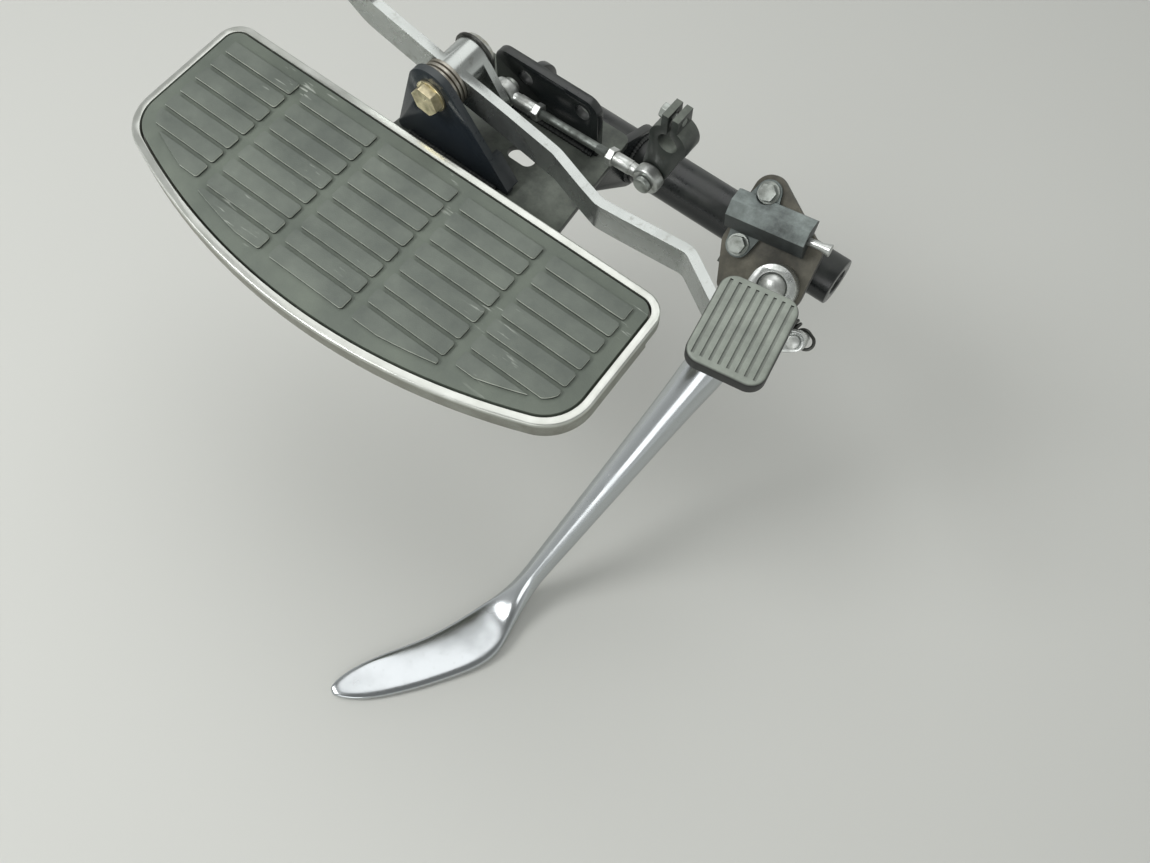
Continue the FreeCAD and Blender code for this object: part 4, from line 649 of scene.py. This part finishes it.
def hand_over(piece, body, material, angle, nodes=()):
    """Applies what is left to apply, gives the finish and hands the piece to its body."""
    pick(piece)
    for modifier in list(piece.modifiers):
        bpy.ops.object.modifier_apply(modifier=modifier.name)
    bpy.ops.object.transform_apply(location=True, rotation=True, scale=True)
    bpy.ops.object.shade_smooth_by_angle(angle=radians(angle))
    piece.data.materials.clear()
    piece.data.materials.append(material)
    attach(piece, body)
    if nodes:
        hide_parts(*nodes)
    print(piece.name, len(piece.data.polygons), "faces")


# %% [markdown]
# No real edge is perfectly sharp: castings and mouldings have round ones, sheet metal has
# burrs knocked off, and bolt heads are chamfered. Such an edge catches the light as a thin
# line, which tells the eye how large a thing is. So each solid is copied, its edges are
# broken by the width that its own making leaves, and the copy stands for the solid. The
# shape stays what CAD made it.

# %% Edges of the solids
# Columns: CAD node, new piece, body, material slot, finish, edge in mm, steps.
EDGED = [
    ("frame_rail", "rail", "frame_bracket", "black_paint", black_paint, 0.8, 2),
    ("mount_plate", "mounting_plate", "frame_bracket", "black_paint", black_paint, 0.8, 2),
    ("footboard_bracket", "bracket", "frame_bracket", "black_paint", dusty_paint, 0.6, 2),
    ("rail_hangers", "hangers", "frame_bracket", "black_paint", black_paint, 0.8, 2),
    ("hinge_pin_front", "front_pin", "frame_bracket", "zinc_steel", white_zinc, 0.4, 2),
    ("hinge_pin_rear", "rear_pin", "frame_bracket", "zinc_steel", white_zinc, 0.4, 2),
    ("stop_bumper", "bumper_rubber", "frame_bracket", "rubber", stop_rubber, 0.8, 3),
    ("lever_lug", "lug", "frame_bracket", "black_paint", lug_paint, 0.7, 2),
    ("lever_pivot_bolt", "pivot_bolt", "frame_bracket", "zinc_steel", pivot_zinc, 0.5, 1),
    ("pivot_circlip", "circlip", "frame_bracket", "zinc_steel", dark_steel, 0.3, 2),
    ("lever_washers", "washers", "frame_bracket", "zinc_steel", brown_zinc, 0.25, 2),
    ("stand_plate", "stand_flange", "frame_bracket", "black_paint", rubbed_paint, 0.8, 2),
    ("stand_web", "web", "frame_bracket", "black_paint", dusty_paint, 0.8, 2),
    ("stand_pivot_bolt", "stand_bolt", "frame_bracket", "zinc_steel", white_zinc, 0.4, 2),
    ("stand_switch", "switch", "frame_bracket", "switch_plastic", switch_nylon, 0.7, 3),
    ("switch_plunger", "plunger", "frame_bracket", "zinc_steel", white_zinc, 0.3, 2),
    ("switch_bolts", "flange_bolts", "frame_bracket", "zinc_steel", grey_zinc, 0.4, 1),
    ("spring_post", "post", "frame_bracket", "zinc_steel", brown_zinc, 0.4, 2),
    ("footboard_pan", "pan", "footboard", "cast_aluminium", cast_aluminium, 0.5, 2),
    ("footboard_mat", "mat", "footboard", "rubber", mat_rubber, 0.85, 3),
    ("toe_peg_pin", "peg_pin", "gear_lever_body", "zinc_steel", white_zinc, 0.5, 2),
    ("toe_peg_rubber", "toe_rubber", "gear_lever_body", "rubber", peg_rubber, 0.5, 2),
    ("heel_pad", "heel_rubber", "gear_lever_body", "rubber", pad_rubber, 0.45, 3),
    ("heel_pad_plate", "heel_plate", "gear_lever_body", "lever_steel", worn_plate, 0.5, 2),
    ("front_eye_bolt", "front_bolt", "gear_lever_body", "zinc_steel", grey_zinc, 0.5, 1),
    ("shift_rod", "rod", "shift_rod_body", "zinc_steel", dull_zinc, 0.2, 2),
    ("rod_end_front", "front_eye", "shift_rod_body", "zinc_steel", white_zinc, 0.4, 2),
    ("rod_end_rear", "rear_eye", "shift_rod_body", "zinc_steel", white_zinc, 0.4, 2),
    ("rod_lock_nuts", "lock_nuts", "shift_rod_body", "zinc_steel", white_zinc, 0.4, 1),
    ("gearbox_arm", "shift_arm", "gearbox_arm_body", "black_paint", dusty_paint, 0.8, 2),
    ("arm_pinch_bolt", "pinch_bolt", "gearbox_arm_body", "zinc_steel", grey_zinc, 0.4, 1),
    ("rear_eye_bolt", "rear_bolt", "gearbox_arm_body", "zinc_steel", grey_zinc, 0.5, 1),
    ("spring_hook", "hook", "side_stand", "zinc_steel", white_zinc, 0.3, 2),
    ("stand_neck", "neck", "side_stand", "stand_chrome", satin_plate, 0.9, 3),
]
for node, name, body, slot, surface, edge_mm, steps in EDGED:
    piece = merged_copy(node, name)
    bevel(piece, edge_mm / 1000, steps)
    hand_over(piece, body, surface, SMOOTH_ROUND if steps > 1 else SMOOTH_CHAMFER, [node])

# %% [markdown]
# The gear lever is a flat forged bar with rounded edges, wider than those of sheet metal. Its
# edges get a bevel of their own here. A bevel normally bends the shading of the large flat
# faces beside it, which shows at once on plated steel. Hardened normals keep those faces flat
# and leave all the rounding to the bevel.

# %% Lever
LEVER_EDGE = 0.0019
LEVER_STEPS = 4
LEVER_CORNER = 40.0

lever = merged_copy("gear_lever", "lever")
bpy.ops.object.shade_smooth_by_angle(angle=radians(30))
bevel(lever, LEVER_EDGE, LEVER_STEPS, LEVER_CORNER)
lever.modifiers["edges"].harden_normals = True
hand_over(lever, "gear_lever_body", worn_plate, SMOOTH_ROUND, ["gear_lever"])

# %% [markdown]
# The leg of the side stand is a tapered bar whose end was forged into a flat tongue and turned
# to lie along the ground. Chrome shows every dent in such a form, so it needs a mesh with long,
# even rows of faces. It starts as a cylinder that is cut into as many rings as the three tables
# have rows. Each ring is then moved to its place on the way from the pivot to the tip, turned
# square to that way and given its own width and thickness, and a subdivision surface runs a
# smooth skin over them all. A round ring has the power 2; a higher power squares it towards
# a tongue with full edges. Between the leg and the foot the way follows a smooth bend, whose
# pull says how far it keeps straight at either end and whose sweep turns it to the side.

# %% Leg and foot of the stand
STAND_PIVOT = (-0.1732, 0.0054, -0.0486)
STAND_TILT = radians(-40.5)
STAND = Matrix.Translation(STAND_PIVOT) @ Matrix.Rotation(STAND_TILT, 4, "X")
LEG_LEAN = radians(7.93)
LEG_LENGTH = 0.289
LEG_HEIGHT = 0.008
LEAN = radians(8.0)
FOOT_TURN = radians(25.0)
BEND_HEIGHT = 0.007

leg_way = STAND.to_3x3() @ Vector((sin(LEG_LEAN), cos(LEG_LEAN), 0))
leg_foot = STAND @ Vector((0, 0, LEG_HEIGHT))
bend = leg_foot + leg_way * LEG_LENGTH
ground_up = Vector((0, -sin(LEAN), cos(LEAN)))
foot_way = Vector((sin(FOOT_TURN), cos(FOOT_TURN), 0))
foot_way = (foot_way - ground_up * foot_way.dot(ground_up)).normalized()
foot_side = ground_up.cross(foot_way)
foot_start = bend - ground_up * BEND_HEIGHT

# Columns, in mm: distance from the pivot along the leg, radius.
LEG_RINGS = [
    (43.4, 7.0), (44.2, 10.8), (46.5, 13.4), (51, 14.2), (62, 14.2), (74, 13.9), (84, 13.2),
    (100, 12.4), (120, 11.7), (150, 10.85), (180, 10.0), (210, 9.2), (238, 8.4), (256, 7.9),
]
# Columns, in mm: distance from the bend along the foot, middle across, half width, thickness.
FOOT_RINGS = [
    (18, 9.8, 16.6, 10.6), (26, 12.6, 18.2, 9.5), (38, 14.7, 18.6, 8.3), (52, 15.1, 17.6, 7.5),
    (66, 14.6, 16.4, 7.0), (80, 13.3, 15.9, 6.6), (94, 11.4, 15.2, 6.3), (106, 9.8, 14.0, 6.0),
    (117, 8.4, 12.1, 5.6), (126, 7.0, 9.2, 5.2), (132, 5.9, 6.2, 4.6), (135.6, 5.2, 3.4, 3.8),
    (136.6, 5.1, 1.6, 2.4),
]
KNEE_PULL = 0.045
KNEE_SWEEP = 0.45
# Columns of the knee: half width and half thickness in mm, power.
KNEE = [(7.9, 7.6, 2.0), (8.5, 7.4, 2.1), (9.9, 7.1, 2.3), (11.9, 6.7, 2.6), (14.2, 6.1, 2.9)]
ROUND_POWER = 2.0
FOOT_POWER = 3.8
RING_POINTS = 24
SKIN_LEVELS = 2

rings = []
for along_mm, radius in LEG_RINGS:
    centre = leg_foot + leg_way * along_mm / 1000
    rings.append((centre, leg_way, radius, radius, ROUND_POWER))
foot_rings = []
for along_mm, middle, half_width, thickness in FOOT_RINGS:
    centre = Vector((along_mm, middle, thickness / 2)) / 1000
    centre = foot_start + foot_way * centre.x + foot_side * centre.y + ground_up * centre.z
    foot_rings.append((centre, foot_way, half_width, thickness / 2, FOOT_POWER))
leave, arrive = rings[-1][0], foot_rings[0][0]
arrive_way = (foot_way + KNEE_SWEEP * foot_side).normalized()
for i, (half_width, half_thickness, power) in enumerate(KNEE):
    t = (i + 1) / (len(KNEE) + 1)
    eased = t * t * (3 - 2 * t)
    centre = (
        (1 + 2 * t) * (1 - t) ** 2 * leave + t * (1 - t) ** 2 * KNEE_PULL * leg_way
        + eased * arrive - t * t * (1 - t) * KNEE_PULL * arrive_way
    )
    rings.append((centre, leg_way.slerp(foot_way, eased), half_width, half_thickness, power))
rings += foot_rings

bpy.ops.object.select_all(action="DESELECT")
bpy.ops.mesh.primitive_cylinder_add(vertices=RING_POINTS, radius=1, depth=1, location=(0, 0, 0.5))
leg = bpy.context.object
leg.name = "leg"
bpy.ops.object.transform_apply(location=True, rotation=True, scale=True)
bpy.ops.object.mode_set(mode="EDIT")
bpy.ops.mesh.select_mode(type="EDGE")
bpy.ops.mesh.select_all(action="DESELECT")
bpy.ops.object.mode_set(mode="OBJECT")
# Only the edges that run along the cylinder are cut.
for edge in leg.data.edges:
    low, high = (leg.data.vertices[index].co.z for index in edge.vertices)
    edge.select = abs(high - low) > 0.5
bpy.ops.object.mode_set(mode="EDIT")
bpy.ops.mesh.subdivide(number_cuts=len(rings) - 2)
bpy.ops.mesh.select_mode(type="VERT")
bpy.ops.object.mode_set(mode="OBJECT")
for vertex in leg.data.vertices:
    ring = round(vertex.co.z * (len(rings) - 1))
    centre, way, half_width, half_thickness, power = rings[ring]
    side = ground_up.cross(way).normalized()
    top = way.cross(side)
    across = abs(vertex.co.x) ** (2 / power) * half_width / 1000
    over = abs(vertex.co.y) ** (2 / power) * half_thickness / 1000
    across = across if vertex.co.x > 0 else -across
    over = over if vertex.co.y > 0 else -over
    vertex.co = centre + side * across + top * over
skin = leg.modifiers.new("skin", "SUBSURF")
skin.levels = SKIN_LEVELS
skin.render_levels = SKIN_LEVELS
face_outwards(leg)
hand_over(leg, "side_stand", chrome_plate, SMOOTH_SKIN, ["stand_leg"])

# %% [markdown]
# The return spring is one steel wire, wound close, with a loop at each end. The coils are a
# small circle of wire that a Screw modifier turns round the spring's axis while it moves
# along, and each loop is a ring with a short tail to the coils. The spring is made along X at
# the origin and then laid on the line from its post to its hook. The loop on the hook is
# longer than the pin, because the distance grows a little in the middle of the swing.

# %% Spring
POST = Vector((0.02198, 0.001, -0.0165))
HOOK = Vector((-0.0288, 0.0201, -0.0165))
WIRE = 0.0011
WIRE_SIDES = 10
COIL_RADIUS = 0.0039
COILS = 15
COIL_STEPS = 24
COIL_START, COIL_END = 0.0075, 0.04715
POST_LOOP, HOOK_LOOP, HOOK_SLACK = 0.0043, 0.0039, 0.0032
LOOP_STEPS = 40
TAIL_GAP = 1.2 * WIRE
TAIL_RADIUS = 0.97 * WIRE

bpy.ops.object.select_all(action="DESELECT")
bpy.ops.mesh.primitive_circle_add(
    vertices=WIRE_SIDES, radius=WIRE, location=(COIL_START, 0, COIL_RADIUS),
    rotation=(pi / 2, 0, 0),
)
coils = bpy.context.object
bpy.ops.object.transform_apply(location=True, rotation=True, scale=True)
wind(coils, COILS, (COIL_END - COIL_START) / COILS, COIL_STEPS)

reach = (HOOK - POST).length
wires = [coils]
for at, inner, slack in ((0.0, POST_LOOP, 0.0), (reach, HOOK_LOOP, HOOK_SLACK)):
    bpy.ops.mesh.primitive_torus_add(
        major_segments=LOOP_STEPS, minor_segments=WIRE_SIDES, major_radius=inner + WIRE,
        minor_radius=WIRE, location=(at, 0, 0),
    )
    loop = bpy.context.object
    bpy.ops.object.transform_apply(location=True, rotation=True, scale=True)
    for vertex in loop.data.vertices:
        if vertex.co.x > at:
            vertex.co.x += slack
    wires.append(loop)
tails = [
    (Vector((POST_LOOP + TAIL_GAP, 0, 0)), Vector((COIL_START + WIRE, 0, COIL_RADIUS))),
    (Vector((reach - HOOK_LOOP - TAIL_GAP, 0, 0)), Vector((COIL_END - WIRE, 0, COIL_RADIUS))),
]
for low, high in tails:
    span = high - low
    bpy.ops.mesh.primitive_cylinder_add(
        vertices=WIRE_SIDES, radius=TAIL_RADIUS, depth=span.length + WIRE,
        location=(low + high) / 2, rotation=span.to_track_quat("Z", "Y").to_euler(),
    )
    wires.append(bpy.context.object)
pick(*wires)
bpy.ops.object.join()
spring = bpy.context.object
spring.name = "spring"
along = (HOOK - POST).normalized()
across = Vector((0, 0, 1)).cross(along)
lie = Matrix((along, across, Vector((0, 0, 1)))).transposed().to_4x4()
spring.matrix_world = STAND @ Matrix.Translation(POST) @ lie
face_outwards(spring)
hand_over(spring, "stand_spring_body", dark_steel, SMOOTH_SKIN, ["stand_spring"])

# %% [markdown]
# The plates are welded to the rail and to each other. A hand laid bead is a row of small
# overlapping puddles, so its width swells and shrinks every two millimetres. A curve with a
# round section does that when the radius of its points goes up and down. Half of the bead
# lies in the corner between the two plates. No hand holds a torch quite still, so a little
# noise lets the bead wander; its seed is fixed, because it would come from the clock otherwise.

# %% Weld beads
RAIL_Y, RAIL_Z = -0.035, -0.07
RAIL_RADIUS = 0.016
BEAD_RADIUS = 0.0021
BEAD_LIFT = 0.0004
PUDDLE = 0.0022
POINTS_PER_PUDDLE = 4
MEAN_SWELL, SWELL = 0.92, 0.14
WANDER, WANDERS_PER_METRE, WANDER_SEED = 0.0002, 900, 5
HANGER_FACES = [0.048, 0.054, -0.040, -0.034]
# Columns: start, end of a straight bead.
BEADS = [
    ((-0.031, 0.0064, -0.0326), (0.043, 0.0064, -0.0326)),
    ((-0.031, -0.0004, -0.0326), (0.043, -0.0004, -0.0326)),
    ((0.000, 0.0639, -0.0326), (0.072, 0.0639, -0.0326)),
    ((0.006, 0.0581, -0.0326), (0.072, 0.0581, -0.0326)),
    ((0.0476, -0.0145, -0.0384), (0.0476, 0.0220, -0.0384)),
    ((0.0544, -0.0145, -0.0384), (0.0544, 0.0220, -0.0384)),
    ((-0.0336, -0.0145, -0.0384), (-0.0336, 0.0220, -0.0384)),
    ((-0.0404, -0.0145, -0.0384), (-0.0404, 0.0220, -0.0384)),
]
WEB_SIDES = [-0.0284, -0.0216]
WEB_START, WEB_END = 0.010, 0.050
PLATE_UNDERSIDE = -0.0064


def straight(start, end):
    """Points along a straight bead."""
    start, end = Vector(start), Vector(end)
    count = int((end - start).length / PUDDLE * POINTS_PER_PUDDLE)
    return [start.lerp(end, i / count) for i in range(count + 1)]


def round_rail(x):
    """Points of a bead all round the rail, at one face of a hanger."""
    radius = RAIL_RADIUS + BEAD_LIFT
    count = int(2 * pi * radius / PUDDLE) * POINTS_PER_PUDDLE
    angles = [2 * pi * i / count for i in range(count)]
    return [Vector((x, RAIL_Y + radius * cos(a), RAIL_Z + radius * sin(a))) for a in angles]


def web_meets_rail(v):
    """Depth below the stand plate at which the plane v of its frame enters the rail."""
    start = STAND @ Vector((0, v, 0))
    way = STAND.to_3x3() @ Vector((0, 0, 1))
    offset = Vector((start.y - RAIL_Y, start.z - RAIL_Z))
    half = offset.x * way.y + offset.y * way.z
    return -half + sqrt(half * half - offset.length_squared + RAIL_RADIUS ** 2)


lines = [straight(*row) for row in BEADS]
for v in WEB_SIDES:
    for w in (PLATE_UNDERSIDE, web_meets_rail(v)):
        lines.append(straight(STAND @ Vector((WEB_START, v, w)), STAND @ Vector((WEB_END, v, w))))
hoops = [round_rail(x + (BEAD_LIFT if i % 2 else -BEAD_LIFT)) for i, x in enumerate(HANGER_FACES)]

bead_curve = bpy.data.curves.new("weld_beads", "CURVE")
bead_curve.dimensions = "3D"
bead_curve.bevel_depth = BEAD_RADIUS
bead_curve.bevel_resolution = 2
bead_curve.use_fill_caps = True
noise.seed_set(WANDER_SEED)
for points in lines + hoops:
    line = bead_curve.splines.new("POLY")
    line.points.add(len(points) - 1)
    line.use_cyclic_u = points in hoops
    for i, point in enumerate(points):
        wander = noise.noise_vector(point * WANDERS_PER_METRE) * WANDER
        line.points[i].co = (*(point + wander), 1.0)
        line.points[i].radius = MEAN_SWELL + SWELL * cos(2 * pi * i / POINTS_PER_PUDDLE)
welds = bpy.data.objects.new("weld_beads", bead_curve)
bpy.context.scene.collection.objects.link(welds)
pick(welds)
bpy.ops.object.convert(target="MESH")
welds = bpy.context.object
hand_over(welds, "frame_bracket", black_paint, SMOOTH_SKIN)

# %% [markdown]
# The shift rod is threaded at both ends, so that turning it sets the lever's height. A thread
# is a ridge that climbs by one pitch a turn, and a Screw modifier makes exactly that from a
# profile one pitch long. It starts at the lock nut and runs out on the bare rod.

# %% Thread of the shift rod
FRONT_EYE = Vector((0.0262, 0.021, -0.0022))
REAR_EYE = Vector((-0.0827, 0.021, 0.0017))
ROD_RADIUS = 0.0027
THREAD_PITCH = 0.0009
THREAD_HEIGHT = 0.0003
THREAD_SINK = 0.00005
THREAD_TURNS = 9
THREAD_STEPS = 20
THREAD_START = 0.0283
THREAD_MERGE = 0.00001

rod_way = (REAR_EYE - FRONT_EYE).normalized()
threads = []
for eye, way in ((FRONT_EYE, rod_way), (REAR_EYE, -rod_way)):
    profile = [
        (0.0, 0.0, ROD_RADIUS - THREAD_SINK),
        (THREAD_PITCH / 2, 0.0, ROD_RADIUS + THREAD_HEIGHT),
        (THREAD_PITCH, 0.0, ROD_RADIUS - THREAD_SINK),
    ]
    mesh = bpy.data.meshes.new("thread")
    mesh.from_pydata(profile, [(0, 1), (1, 2)], [])
    thread = bpy.data.objects.new("thread", mesh)
    bpy.context.scene.collection.objects.link(thread)
    wind(thread, THREAD_TURNS, THREAD_PITCH, THREAD_STEPS, THREAD_MERGE)
    lie = way.to_track_quat("X", "Z").to_matrix().to_4x4()
    thread.matrix_world = Matrix.Translation(eye + way * THREAD_START) @ lie
    threads.append(thread)
pick(*threads)
bpy.ops.object.join()
threads = bpy.context.object
threads.name = "rod_threads"
bpy.ops.object.mode_set(mode="EDIT")
bpy.ops.mesh.select_all(action="SELECT")
bpy.ops.mesh.remove_doubles(threshold=THREAD_MERGE)
bpy.ops.object.mode_set(mode="OBJECT")
face_outwards(threads)
hand_over(threads, "shift_rod_body", dull_zinc, SMOOTH_THREAD)

# %% [markdown]
# The floor is plain and pale. On its side stand the machine leans over, and the foot lies
# flat on the ground, so in the part's own frame the ground slopes by those eight degrees.

# %% Floor
GROUND = -0.2653
FLOOR_X = -0.05
FLOOR_RADIUS = 1.5

bpy.ops.object.select_all(action="DESELECT")
bpy.ops.mesh.primitive_circle_add(
    vertices=96, radius=FLOOR_RADIUS, fill_type="NGON",
    location=(FLOOR_X, -GROUND * sin(LEAN), GROUND * cos(LEAN)), rotation=(LEAN, 0, 0),
)
floor = bpy.context.object
floor.name = "floor"
floor_material, tree, _ = new_material("pale_floor")
surface = add(tree, "ShaderNodeBsdfPrincipled", {
    "Base Color": linear("#d2d3ce"), "Roughness": 0.8,
})
add(tree, "ShaderNodeOutputMaterial", {"Surface": surface.outputs["BSDF"]})
floor.data.materials.append(floor_material)

# %% [markdown]
# Chrome has no colour of its own: it shows the room. A room that is equally pale all round
# would make it flat and white, so this one is pale at the horizon and darker overhead, and
# large soft boxes hang in it. One is where the foot mirrors it towards the camera, and one
# stands outside the machine and lays a bright stripe along the leg. The room and the boxes
# together light a level surface about as strongly as a plain white room would, so that
# colours come out as they are written.

# %% Room and lamps
world = bpy.data.worlds.new("studio")
bpy.context.scene.world = world
world.use_nodes = True
tree = world.node_tree
tree.nodes.clear()
direction = add(tree, "ShaderNodeTexCoord").outputs["Generated"]
height = add(tree, "ShaderNodeSeparateXYZ", {"Vector": direction}).outputs["Z"]
room = add(tree, "ShaderNodeMapRange", {
    "Value": height, "From Min": 0.0, "From Max": 0.9, "To Min": 0.78, "To Max": 0.25,
})
light = add(tree, "ShaderNodeBackground", {
    "Color": linear("#fbfdfb"), "Strength": room.outputs["Result"],
})
add(tree, "ShaderNodeOutputWorld", {"Surface": light.outputs["Background"]})

# Columns: name, place, aim, side in metres, watts.
LAMPS = [
    ("key", (0.85, 1.0, 1.3), (-0.05, 0.1, -0.1), 0.7, 16.0),
    ("overhead", (0.3, -0.5, 1.4), (-0.05, 0.2, -0.2), 1.4, 9.5),
    ("outside", (-0.5, 1.6, 0.7), (-0.15, 0.2, -0.15), 0.9, 4.5),
]
for name, place, aim, side, watts in LAMPS:
    lamp_data = bpy.data.lights.new(name, "AREA")
    lamp_data.size = side
    lamp_data.energy = watts
    lamp = bpy.data.objects.new(name, lamp_data)
    bpy.context.scene.collection.objects.link(lamp)
    lamp.location = place
    lamp.rotation_euler = (Vector(aim) - Vector(place)).to_track_quat("-Z", "Y").to_euler()
